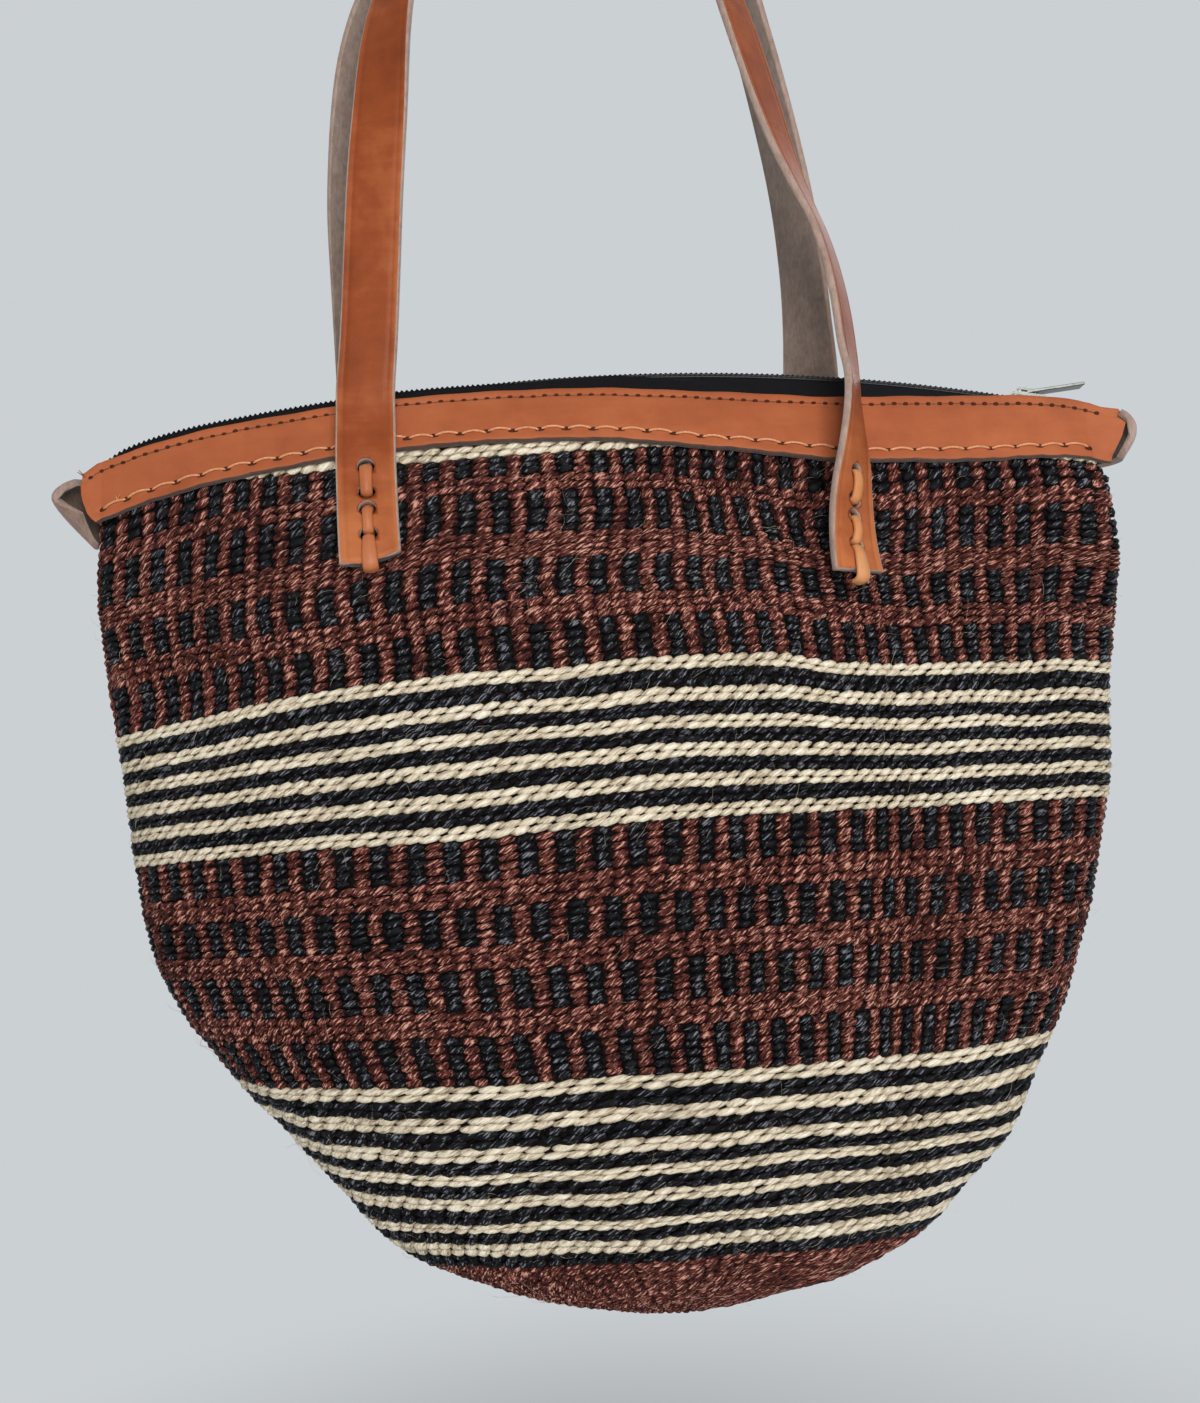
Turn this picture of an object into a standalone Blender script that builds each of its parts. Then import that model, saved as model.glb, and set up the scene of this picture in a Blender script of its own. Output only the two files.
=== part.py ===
"""Kiondo tote: a woven sisal basket with a leather rim, an open coil zip and two laced leather straps.

Sizes are metres. +X is the wearer's right in the picture, -Y the front and +Z up. The origin is the
underside of the straps' crown, where the basket hangs.
"""
import math

import bmesh
import bpy
from mathutils import Matrix, Vector

# Basket
RIM_DROP = 0.219
BODY_HEIGHT = 0.342
HALF_WIDTH = 0.188
HALF_DEPTH = 0.059
BASE_SHIFT = 0.015
WALL = 0.004
SIDE_WALL = 0.006
BASE_WALL = 0.005
RIM_ARCH_RADIUS = 1.100
BLUNTNESS = 0.25
END_SHARE = 0.985
TOP_LEVEL_SHARE = 0.035
RING_POINTS = 56
LEVEL_SHARES = (-0.03, 0.0, 0.067, 0.149, 0.237, 0.354, 0.471, 0.588, 0.699, 0.787, 0.851, 0.909, 0.953,
                0.982, 1.0)
DROP_SHARES = (-0.03, 0.0, 0.067, 0.149, 0.237, 0.354, 0.471, 0.588, 0.699, 0.787, 0.851, 0.9035, 0.939,
               0.960, 0.9735)
WIDTH_SHARES = (0.982, 0.984, 0.992, 1.0, 0.988, 0.961, 0.934, 0.880, 0.788, 0.682, 0.578, 0.468, 0.335,
                0.205, 0.100)
DEPTH_SHARES = (0.085, 0.175, 0.381, 0.576, 0.746, 0.898, 0.983, 1.0, 0.949, 0.847, 0.729, 0.576, 0.424,
                0.271, 0.153)
PINCH_POWERS = (2.0, 2.0, 1.9, 1.75, 1.6, 1.4, 1.25, 1.15, 1.05, 1.0, 1.0, 1.0, 1.0, 1.0, 1.0)
FOLD_SHARES = (0.11, 0.11, 0.119, 0.153, 0.203, 0.271, 0.339, 0.373, 0.373, 0.339, 0.292, 0.23, 0.17, 0.108,
               0.061)
ARCH_SHARES = (1.0, 1.0, 1.0, 0.97, 0.85, 0.6, 0.35, 0.15, 0.03, 0.0, 0.0, 0.0, 0.0, 0.0, 0.0)
SHIFT_SHARES = (0.0, 0.0, 0.03, 0.06, 0.11, 0.13, 0.07, 0.08, 0.27, 0.58, 0.73, 0.79, 0.80, 0.80, 0.80)
BODY_RING_SHARES = (0.067, 0.108, 0.149, 0.193, 0.237, 0.295, 0.354, 0.412, 0.471, 0.53, 0.588, 0.644, 0.699,
                    0.743, 0.787, 0.819, 0.851, 0.88, 0.909, 0.931, 0.953, 0.968, 0.982, 0.992, 1.0)

# Leather round the rim
CLEARANCE = 0.0003
BAND_THICKNESS = 0.0022
BAND_INSET = 0.0034
BAND_REACH = HALF_WIDTH - BAND_INSET
BAND_COLUMNS = 48
BAND_ROWS = 4
EDGE_FALL = 0.0177
EDGE_TOP = 0.2188
EDGE_X_SHARES = (-1.005, -0.984, -0.867, -0.713, -0.511, -0.378, -0.112, 0.043, 0.319, 0.495, 0.691, 0.904,
                 1.005)
EDGE_FALL_SHARES = (1.0, 0.944, 0.605, 0.322, 0.096, 0.0, 0.0, 0.085, 0.384, 0.554, 0.61, 0.701, 0.859)
BAND_HEIGHT = 0.0263
BAND_X_SHARES = (-1.005, -0.713, -0.388, 0.0, 0.234, 0.457, 0.761, 1.005)
BAND_HEIGHT_SHARES = (0.856, 0.856, 0.837, 0.856, 0.92, 1.0, 0.989, 0.817)
EAR_LENGTH = 0.0160
EAR_HALF_OUTSIDE = 0.0078
EAR_DROP = 0.0015
EAR_COLUMNS = 18
EAR_ROWS = 3

# Zip, whose chain is an arc about a point far below the rim
ZIP_RADIUS = 0.750
ZIP_CREST_DROP = 0.2113
COIL_RADIUS = 0.0010
COIL_OFFSET = 0.0033
CHAIN_REACH = 0.1715
TAPE_REACH = 0.1800
TAPE_THICKNESS = 0.0006
TAPE_INNER = 0.0024
TAPE_SHOULDER = 0.0044
TAPE_HIDDEN = 0.0030
TAPE_TUCK = 0.0005
TAPE_FALL = 0.0015
TAPE_COLUMNS = 40
STOP_LENGTH = 0.0040
STOP_HEIGHT = 0.0022
SLIDER_REST = 0.1630
SLIDER_LENGTH = 0.0120
SLIDER_HALF_WIDTH = 0.0053
PLATE_THICKNESS = 0.0013
LOWER_PLATE_HALF = 0.0039
POST_LENGTH = 0.0032
POST_HALF = 0.0018
FLANGE_WIDTH = 0.0006
FLANGE_DEPTH = 0.0010
BRIDGE_LENGTH = 0.0064
BRIDGE_WIDTH = 0.0022
BRIDGE_GAP = 0.0022
BRIDGE_GAP_LENGTH = 0.0044
BRIDGE_TOP = 0.0010
PIVOT_HEIGHT = 0.0012
SLIDER_BEVEL = 0.0003
JOIN = 0.0002
TAB_LENGTH = 0.0215
TAB_WIDTH = 0.0060
TAB_THICKNESS = 0.0011
TAB_WINDOW = 0.0040
TAB_WINDOW_WIDTH = 0.0030
TAB_TILT = math.radians(18.0)
TAB_BEVEL = 0.0002

# Straps
STRAP_WIDTH = 0.0215
STRAP_THICKNESS = 0.0026
STRAP_BEVEL = 0.0004
HINGE_DROP = 0.2170
HINGE_FRONT = 0.0205
LEG_FRONT = 0.0171
CROWN_FRONT = 0.01145
HINGE_GAP = 0.0006
LEG_REACH = 0.100
FRONT_LOOP_DROP_SHARES = (1.0, 0.9, 0.77, 0.645, 0.516, 0.323, 0.161, 0.0415, -0.006, 0.0415, 0.161, 0.355,
                          0.5, 0.613, 0.7, 0.756, 0.82, 0.9, 1.0)
FRONT_LOOP_X_SHARES = (-0.80, -0.80, -0.78, -0.75, -0.71, -0.645, -0.52, -0.30, 0.0, 0.28, 0.47, 0.594,
                       0.67, 0.74, 0.81, 0.873, 0.921, 0.945, 0.945)
FRONT_LOOP_TURNS = (4.0, 4.0, 4.0, 6.0, 20.0, 46.0, 70.0, 86.0, 90.0, 86.0, 68.0, 52.0, 52.0, 55.0, 64.0,
                    71.0, 70.0, 50.0, 10.0)
BACK_LOOP_DROP_SHARES = (1.0, 0.9, 0.75, 0.58, 0.345, 0.18, 0.055, -0.006, 0.055, 0.18, 0.345, 0.58, 0.75,
                         0.9, 1.0)
BACK_LOOP_X_SHARES = (-0.88, -0.88, -0.885, -0.885, -0.83, -0.68, -0.37, 0.0, 0.34, 0.62, 0.716, 0.81, 0.85,
                      0.86, 0.86)
BACK_LOOP_TURNS = (4.0, 10.0, 20.0, 30.0, 48.0, 70.0, 86.0, 90.0, 86.0, 72.0, 62.0, 58.0, 50.0, 40.0, 10.0)
LOOP_STATIONS = 56
END_STATIONS = 14
BAND_STANDOFF = 0.0063
WEAVE_STANDOFF = 0.0047
STANDOFF_FALL = 0.0150
END_TURN = 6.0
END_LEAN = 0.05
SOFTENING = 0.0016

# Laced ends of the straps
HOLE_RADIUS = 0.0031
HOLE_SIDES = 20
PAIR_PITCH = 0.0103
PAIR_SPACE = 0.0070
LEFT_HOLE_START = 0.0315
RIGHT_HOLE_START = 0.0475
END_MARGIN = 0.0095
LACE_WIDTH = 0.0042
LACE_THICKNESS = 0.0014
LACE_OFFSET = 0.0010
LACE_TURN = 0.0013
LACE_BACK = 0.0023
LACE_RISE = 0.0012
LACE_FRONT = 0.0029
LACE_TAIL = 0.0030
LACE_POINTS = 64

SISAL = (0.185, 0.055, 0.038)
TAN_LEATHER = (0.48, 0.16, 0.065)
STRAP_LEATHER = (0.53, 0.15, 0.045)
LACE_LEATHER = (0.58, 0.2, 0.075)
ZIP_CLOTH = (0.012, 0.012, 0.014)
COIL_NYLON = (0.018, 0.018, 0.02)
NICKEL = (0.62, 0.61, 0.58)


def start_empty():
    for old in list(bpy.data.objects):
        bpy.data.objects.remove(old, do_unlink=True)


def collection(name):
    made = bpy.data.collections.new(name)
    bpy.context.scene.collection.children.link(made)
    return made


start_empty()
PARTS = collection("kiondo_basket")
CUTTERS = collection("cutters")


def material(name, colour, roughness, metallic=0.0):
    made = bpy.data.materials.new(name)
    made.use_nodes = True
    shader = made.node_tree.nodes["Principled BSDF"]
    shader.inputs["Base Color"].default_value = (*colour, 1.0)
    shader.inputs["Roughness"].default_value = roughness
    shader.inputs["Metallic"].default_value = metallic
    made.diffuse_color = (*colour, 1.0)
    return made


def place(name, mesh, home, look=None):
    """Link a mesh as an object, round-shaded, with its material."""
    obj = bpy.data.objects.new(name, mesh)
    home.objects.link(obj)
    if look:
        mesh.materials.clear()
        mesh.materials.append(look)
    for face in mesh.polygons:
        face.use_smooth = True
    return obj


def interpolate(stations, values, at):
    """Smooth curve through a table, with straight ends beyond it."""
    last = len(stations) - 1
    k = 0
    while k < last - 1 and at > stations[k + 1]:
        k += 1

    def slope(i):
        low = max(i - 1, 0)
        high = min(i + 1, last)
        return (values[high] - values[low]) / (stations[high] - stations[low])

    span = stations[k + 1] - stations[k]
    t = min(max((at - stations[k]) / span, 0.0), 1.0)
    a = 2 * t ** 3 - 3 * t ** 2 + 1
    b = t ** 3 - 2 * t ** 2 + t
    c = 3 * t ** 2 - 2 * t ** 3
    d = t ** 3 - t ** 2
    return a * values[k] + b * span * slope(k) + c * values[k + 1] + d * span * slope(k + 1)


def centre_height(level):
    return -RIM_DROP - BODY_HEIGHT * interpolate(LEVEL_SHARES, DROP_SHARES, level)


def height_on(level, x):
    """Height of a level line, which arches with the rim near the top and lies flat below."""
    return centre_height(level) - interpolate(LEVEL_SHARES, ARCH_SHARES, level) * x * x / (2 * RIM_ARCH_RADIUS)


def level_at(x, z):
    low = LEVEL_SHARES[0]
    high = 1.0
    for _ in range(30):
        middle = (low + high) / 2
        if height_on(middle, x) > z:
            low = middle
        else:
            high = middle
    return (low + high) / 2


def section(level):
    """Half width, half depth, pinch, fold depth and sideways shift of the basket at a level."""
    return (HALF_WIDTH * interpolate(LEVEL_SHARES, WIDTH_SHARES, level),
            HALF_DEPTH * interpolate(LEVEL_SHARES, DEPTH_SHARES, level),
            interpolate(LEVEL_SHARES, PINCH_POWERS, level),
            HALF_DEPTH * interpolate(LEVEL_SHARES, FOLD_SHARES, level),
            BASE_SHIFT * interpolate(LEVEL_SHARES, SHIFT_SHARES, level))


def bulge(cosine, depth, pinch, fold):
    fold = min(fold, depth)
    return (depth - fold) * cosine ** pinch + fold * cosine ** BLUNTNESS


def depth_on(x, z):
    """Distance from the middle plane to the outside of the weave at a place on the front."""
    width, depth, pinch, fold, shift = section(level_at(x, z))
    share = min(abs(x - shift) / width, END_SHARE)
    return bulge(math.sqrt(1 - share * share), depth, pinch, fold)


def body_ring(level, inside=False):
    width, depth, pinch, fold, shift = section(level)
    lift = 0.0
    if inside:
        width -= SIDE_WALL
        depth -= WALL
        fold = max(fold - WALL, WALL / 4)
        lift = BASE_WALL * max((level - 0.7) / 0.3, 0.0) ** 2
    ring = []
    for k in range(RING_POINTS):
        turn = 2 * math.pi * k / RING_POINTS
        x = shift + width * math.sin(turn)
        cosine = math.cos(turn)
        y = -math.copysign(bulge(abs(cosine), depth, pinch, fold), cosine)
        if abs(cosine) < 1e-9:
            y = 0.0
        ring.append(Vector((x, y, height_on(level, x) + lift)))
    return ring


def loft(name, rings, look):
    """Close a row of unlike rings into one body with flat ends."""
    bm = bmesh.new()
    rows = []
    for ring in rings:
        rows.append([bm.verts.new(p) for p in ring])
    for first, second in zip(rows, rows[1:]):
        for k in range(len(first)):
            n = (k + 1) % len(first)
            bm.faces.new((first[k], first[n], second[n], second[k]))
    bm.faces.new(rows[0])
    bm.faces.new(rows[-1])
    bmesh.ops.recalc_face_normals(bm, faces=bm.faces)
    mesh = bpy.data.meshes.new(name)
    bm.to_mesh(mesh)
    bm.free()
    return place(name, mesh, PARTS, look)


def sheet(name, columns, rows, point, thickness, offset, look, bevel=0.0):
    """A shaped grid with thickness."""
    bm = bmesh.new()
    bmesh.ops.create_grid(bm, x_segments=columns, y_segments=rows, size=1.0)
    for v in bm.verts:
        v.co = Vector(point((v.co.x + 1) / 2, (v.co.y + 1) / 2))
    mesh = bpy.data.meshes.new(name)
    bm.to_mesh(mesh)
    bm.free()
    obj = place(name, mesh, PARTS, look)
    solid = obj.modifiers.new("thickness", "SOLIDIFY")
    solid.thickness = thickness
    solid.offset = offset
    solid.use_even_offset = True
    if bevel:
        soften(obj, bevel, 60.0)
    return obj


def soften(obj, width, angle=30.0, segments=1):
    cut = obj.modifiers.new("soft_edge", "BEVEL")
    cut.width = width
    cut.segments = segments
    cut.limit_method = "ANGLE"
    cut.angle_limit = math.radians(angle)
    return cut


def cube(name, low, high, home, look=None):
    bm = bmesh.new()
    bmesh.ops.create_cube(bm, size=1.0)
    low = Vector(low)
    high = Vector(high)
    for v in bm.verts:
        v.co = Vector([(low[k] + high[k]) / 2 + v.co[k] * (high[k] - low[k]) for k in range(3)])
    mesh = bpy.data.meshes.new(name)
    bm.to_mesh(mesh)
    bm.free()
    return place(name, mesh, home, look)


def hide_cutter(cutter):
    cutter.hide_render = True
    cutter.display_type = "WIRE"


def combine(obj, other, how):
    step = obj.modifiers.new(how.lower(), "BOOLEAN")
    step.operation = how
    step.solver = "EXACT"
    step.object = other
    hide_cutter(other)


def set_origin(obj, point):
    obj.data.transform(Matrix.Translation(-Vector(point)))
    obj.location = point


sisal = material("sisal", SISAL, 0.8)
tan_leather = material("tan_leather", TAN_LEATHER, 0.45)
strap_leather = material("strap_leather", STRAP_LEATHER, 0.3)
lace_leather = material("lace_leather", LACE_LEATHER, 0.5)
zip_cloth = material("zip_cloth", ZIP_CLOTH, 0.85)
coil_nylon = material("coil_nylon", COIL_NYLON, 0.35)
nickel = material("nickel", NICKEL, 0.3, 1.0)

# Basket body
outer_levels = (TOP_LEVEL_SHARE,) + BODY_RING_SHARES
inner_levels = (TOP_LEVEL_SHARE,) + BODY_RING_SHARES[:-1:2]
body_rings = [body_ring(level, inside=True) for level in reversed(inner_levels)]
body_rings += [body_ring(level) for level in outer_levels]
basket_body = loft("basket_body", body_rings, sisal)


def edge_height(x):
    """Height of the leather's top edge, which dips on the right."""
    return -EDGE_TOP - EDGE_FALL * interpolate(EDGE_X_SHARES, EDGE_FALL_SHARES, x / HALF_WIDTH)


def band_height(x):
    return BAND_HEIGHT * interpolate(BAND_X_SHARES, BAND_HEIGHT_SHARES, x / HALF_WIDTH)


def band_point(side):
    def point(u, v):
        x = BAND_REACH * math.sin(math.pi * (u - 0.5))
        z = edge_height(x) - band_height(x) * (1 - v)
        return (x, side * (depth_on(x, z) + CLEARANCE), z)
    return point


def band(name, side):
    return sheet(name, BAND_COLUMNS, BAND_ROWS, band_point(side), BAND_THICKNESS, -side, tan_leather)


rim_band_front = band("rim_band_front", -1)
rim_band_back = band("rim_band_back", 1)


def ear(name, side):
    """The band's folded end: a bent strip round a small hollow."""
    x = side * BAND_REACH
    top = edge_height(x) - EAR_DROP
    tall = band_height(x)
    start = abs(x) + CLEARANCE
    middle = BAND_THICKNESS / 2

    def point(u, v):
        turn = math.pi * (u - 0.5)
        z = top - tall * (1 - v)
        fold = depth_on(x, z) + CLEARANCE + middle
        swell = math.sin(math.pi * u)
        wide = fold + (EAR_HALF_OUTSIDE - middle - fold) * math.sin(math.pi * min(swell, 1.0) * 0.5) ** 2
        y = wide * math.sin(turn)
        if abs(u - 0.5) > 0.32:
            y = math.copysign(wide, u - 0.5)
        long = (EAR_LENGTH - middle) * math.cos(turn) ** 0.8 if abs(turn) < math.pi / 2 - 1e-6 else 0.0
        return (side * (start + long), y, z)
    return sheet(name, EAR_COLUMNS, EAR_ROWS, point, BAND_THICKNESS, 0.0, tan_leather)


ear_left = ear("ear_left", -1)
ear_right = ear("ear_right", 1)

# Zip
ZIP_CENTRE = Vector((0.0, 0.0, -ZIP_CREST_DROP - ZIP_RADIUS))


def chain_point(x, y, below):
    """A point over x on the chain's arc, a distance below its crest."""
    turn = math.asin(x / ZIP_RADIUS)
    reach = ZIP_RADIUS - below
    return Vector((reach * math.sin(turn), y, ZIP_CENTRE.z + reach * math.cos(turn)))


def tape_point(side):
    shelf = 2 * COIL_RADIUS + CLEARANCE + TAPE_THICKNESS / 2
    shares = (0.0, 0.25, 0.5, 0.75, 1.0)

    def point(u, v):
        x = TAPE_REACH * math.sin(math.pi * (u - 0.5))
        inner = chain_point(x, side * TAPE_INNER, shelf)
        shoulder = chain_point(x, side * TAPE_SHOULDER, shelf + TAPE_THICKNESS / 3)
        high = min(edge_height(x) - TAPE_TUCK, shoulder.z - TAPE_FALL)
        under = Vector((x, side * (depth_on(x, high) - TAPE_THICKNESS / 2), high))
        low = high - TAPE_HIDDEN
        hem = Vector((x, side * (depth_on(x, low) - TAPE_THICKNESS / 2), low))
        slope = shoulder.lerp(under, 0.5)
        line = (inner, shoulder, slope, under, hem)
        k = shares.index(round(v * 4) / 4)
        return line[k]
    return point


def tape(name, side):
    made = sheet(name, TAPE_COLUMNS, 4, tape_point(side), TAPE_THICKNESS, 0.0, zip_cloth)
    return made


zip_tape_front = tape("zip_tape_front", -1)
zip_tape_back = tape("zip_tape_back", 1)


def coil(name, side):
    curve = bpy.data.curves.new(name, "CURVE")
    curve.dimensions = "3D"
    spline = curve.splines.new("POLY")
    count = 36
    spline.points.add(count)
    for k in range(count + 1):
        x = CHAIN_REACH * (2 * k / count - 1)
        spline.points[k].co = (*chain_point(x, side * COIL_OFFSET, COIL_RADIUS), 1.0)
    curve.bevel_depth = COIL_RADIUS
    curve.bevel_resolution = 2
    curve.use_fill_caps = True
    curve.materials.append(coil_nylon)
    made = bpy.data.objects.new(name, curve)
    PARTS.objects.link(made)
    return made


zip_coil_front = coil("zip_coil_front", -1)
zip_coil_back = coil("zip_coil_back", 1)


def turned_on_chain(obj, x):
    """Stand a piece, drawn at the crest over x = 0, at its place along the chain."""
    turn = math.asin(x / ZIP_RADIUS)
    move = Matrix.Translation(ZIP_CENTRE) @ Matrix.Rotation(turn, 4, "Y") @ Matrix.Translation(-ZIP_CENTRE)
    obj.data.transform(move)


CREST = -ZIP_CREST_DROP


def stop(name, low_y, high_y, x):
    floor = CREST - 2 * COIL_RADIUS
    made = cube(name, (-STOP_LENGTH / 2, low_y, floor), (STOP_LENGTH / 2, high_y, floor + STOP_HEIGHT),
                PARTS, nickel)
    turned_on_chain(made, x)
    soften(made, SLIDER_BEVEL)
    return made


stop_x = CHAIN_REACH + CLEARANCE + STOP_LENGTH / 2
coil_outer = COIL_OFFSET + COIL_RADIUS
zip_end_stop = stop("zip_end_stop", -coil_outer, coil_outer, stop_x)
zip_top_stop_front = stop("zip_top_stop_front", -coil_outer, -TAPE_INNER, -stop_x)
zip_top_stop_back = stop("zip_top_stop_back", TAPE_INNER, coil_outer, -stop_x)

# Slider
plate_low = CREST + CLEARANCE
plate_high = plate_low + PLATE_THICKNESS
half = SLIDER_LENGTH / 2
lower_high = CREST - 2 * COIL_RADIUS - TAPE_THICKNESS - 2 * CLEARANCE - TAPE_THICKNESS / 3
lower_low = lower_high - PLATE_THICKNESS
zip_slider = cube("zip_slider", (-half, -SLIDER_HALF_WIDTH, plate_low), (half, SLIDER_HALF_WIDTH, plate_high),
                  PARTS, nickel)
flange_end = half - JOIN
flange_side = SLIDER_HALF_WIDTH - JOIN
bridge_end = BRIDGE_LENGTH / 2
bridge_foot = plate_high + BRIDGE_GAP + JOIN
slider_parts = [
    cube("slider_post", (-POST_LENGTH / 2, -POST_HALF, lower_high - JOIN),
         (POST_LENGTH / 2, POST_HALF, plate_low + JOIN), CUTTERS),
    cube("slider_lower", (-flange_end, -LOWER_PLATE_HALF, lower_low), (flange_end, LOWER_PLATE_HALF, lower_high),
         CUTTERS),
    cube("slider_flange_front", (-flange_end, -flange_side, plate_low - FLANGE_DEPTH),
         (flange_end, -flange_side + FLANGE_WIDTH, plate_low + JOIN), CUTTERS),
    cube("slider_flange_back", (-flange_end, flange_side - FLANGE_WIDTH, plate_low - FLANGE_DEPTH),
         (flange_end, flange_side, plate_low + JOIN), CUTTERS),
    cube("slider_bridge_left", (-bridge_end, -BRIDGE_WIDTH / 2, plate_high - JOIN),
         (-BRIDGE_GAP_LENGTH / 2, BRIDGE_WIDTH / 2, bridge_foot), CUTTERS),
    cube("slider_bridge_right", (BRIDGE_GAP_LENGTH / 2, -BRIDGE_WIDTH / 2, plate_high - JOIN),
         (bridge_end, BRIDGE_WIDTH / 2, bridge_foot), CUTTERS),
    cube("slider_bridge_top", (-bridge_end - JOIN, -BRIDGE_WIDTH / 2 - JOIN, plate_high + BRIDGE_GAP),
         (bridge_end + JOIN, BRIDGE_WIDTH / 2 + JOIN, plate_high + BRIDGE_GAP + BRIDGE_TOP), CUTTERS),
]
for piece in [zip_slider] + slider_parts:
    turned_on_chain(piece, SLIDER_REST)
for piece in slider_parts:
    combine(zip_slider, piece, "UNION")
set_origin(zip_slider, ZIP_CENTRE)

# Pull tab
pivot_z = plate_high + PIVOT_HEIGHT
bar = TAB_THICKNESS / 2
zip_pull_tab = cube("zip_pull_tab", (-bar, -TAB_WIDTH / 2, pivot_z - bar), (TAB_LENGTH, TAB_WIDTH / 2, pivot_z + bar),
                    PARTS, nickel)
window = cube("tab_window", (bar, -TAB_WINDOW_WIDTH / 2, pivot_z - TAB_WIDTH),
              (bar + TAB_WINDOW, TAB_WINDOW_WIDTH / 2, pivot_z + TAB_WIDTH), CUTTERS)
lift_tab = (Matrix.Translation((0.0, 0.0, pivot_z)) @ Matrix.Rotation(-TAB_TILT, 4, "Y")
            @ Matrix.Translation((0.0, 0.0, -pivot_z)))
for piece in (zip_pull_tab, window):
    piece.data.transform(lift_tab)
    turned_on_chain(piece, SLIDER_REST)
combine(zip_pull_tab, window, "DIFFERENCE")
soften(zip_pull_tab, TAB_BEVEL)
TAB_PIVOT = chain_point(ZIP_RADIUS * math.sin(math.asin(SLIDER_REST / ZIP_RADIUS)), 0.0, CREST - pivot_z)
set_origin(zip_pull_tab, TAB_PIVOT)


# Straps
class Ribbon:
    """A strap's middle line with the way it faces at each station."""

    def __init__(self, points, turns, side):
        self.points = points
        self.turns = turns
        self.side = side
        self.lengths = [0.0]
        for a, b in zip(points, points[1:]):
            self.lengths.append(self.lengths[-1] + (b - a).length)

    def frame(self, length):
        """Place, run, outward normal and width direction at a length along the strap."""
        k = 0
        while k < len(self.points) - 2 and length > self.lengths[k + 1]:
            k += 1
        t = (length - self.lengths[k]) / (self.lengths[k + 1] - self.lengths[k])
        place_at = self.points[k].lerp(self.points[k + 1], t)
        before = self.tangent(k)
        after = self.tangent(k + 1)
        run = before.lerp(after, min(max(t, 0.0), 1.0)).normalized()
        turn = math.radians(self.turns[k] + (self.turns[k + 1] - self.turns[k]) * t)
        face = Vector((0.0, self.side * math.cos(turn), 0.0))
        flat = Vector((-run.z, 0.0, run.x)).normalized()
        face += flat * math.sin(turn)
        face = (face - run * face.dot(run)).normalized()
        return place_at, run, face, run.cross(face).normalized()

    def tangent(self, k):
        low = max(k - 1, 0)
        high = min(k + 1, len(self.points) - 1)
        return (self.points[high] - self.points[low]).normalized()

    def make(self, name, first, last, stations):
        def point(u, v):
            place_at, _, _, across = self.frame(first + (last - first) * v)
            return place_at + across * STRAP_WIDTH * (u - 0.5)
        return sheet(name, 1, stations, point, STRAP_THICKNESS, 0.0, strap_leather, STRAP_BEVEL)


def loop_ribbon(drops, shares, turns, side):
    """The free loop, from its left hinge over the hook to its right hinge."""
    steps = list(range(len(drops)))
    points = []
    facing = []
    for k in range(4 * LOOP_STATIONS + 1):
        at = k * (len(drops) - 1) / (4 * LOOP_STATIONS)
        drop = interpolate(steps, drops, at)
        x = LEG_REACH * interpolate(steps, shares, at)
        share = min(max(drop, 0.0), 1.0)
        y = side * (CROWN_FRONT + (LEG_FRONT - CROWN_FRONT) * share ** 0.7)
        points.append(Vector((x, y, -HINGE_DROP * drop)))
        facing.append(interpolate(steps, turns, at))
    return Ribbon(points, facing, side)


def end_ribbon(x_start, side, length, top_turn):
    """The laced end, from the hinge down over the band and on to the weave."""
    points = []
    facing = []
    count = 6 * END_STATIONS
    sign = math.copysign(1.0, x_start)
    lean = sign * END_LEAN
    for k in range(count + 1):
        fall = length * k / count
        z = -HINGE_DROP - HINGE_GAP - fall
        x = x_start - lean * fall * k / count
        below = min(max((edge_height(x) - band_height(x) - z) / STANDOFF_FALL, 0.0), 1.0)
        follow = depth_on(x, z) + BAND_STANDOFF + (WEAVE_STANDOFF - BAND_STANDOFF) * below
        gap = LEG_FRONT - follow
        y = (LEG_FRONT + follow + math.sqrt(gap * gap + SOFTENING * SOFTENING)) / 2
        points.append(Vector((x, side * y, z)))
        facing.append(top_turn + (END_TURN - top_turn) * min(1.0, 2.0 * k / count))
    return Ribbon(points, facing, side)


def loop(name, drops, shares, turns, side):
    ribbon = loop_ribbon(drops, shares, turns, side)
    made = ribbon.make(name, 0.0, ribbon.lengths[-1], LOOP_STATIONS)
    set_origin(made, (0.0, side * HINGE_FRONT, -HINGE_DROP))
    return made


strap_loop_front = loop("strap_loop_front", FRONT_LOOP_DROP_SHARES, FRONT_LOOP_X_SHARES, FRONT_LOOP_TURNS, -1)
strap_loop_back = loop("strap_loop_back", BACK_LOOP_DROP_SHARES, BACK_LOOP_X_SHARES, BACK_LOOP_TURNS, 1)


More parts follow.
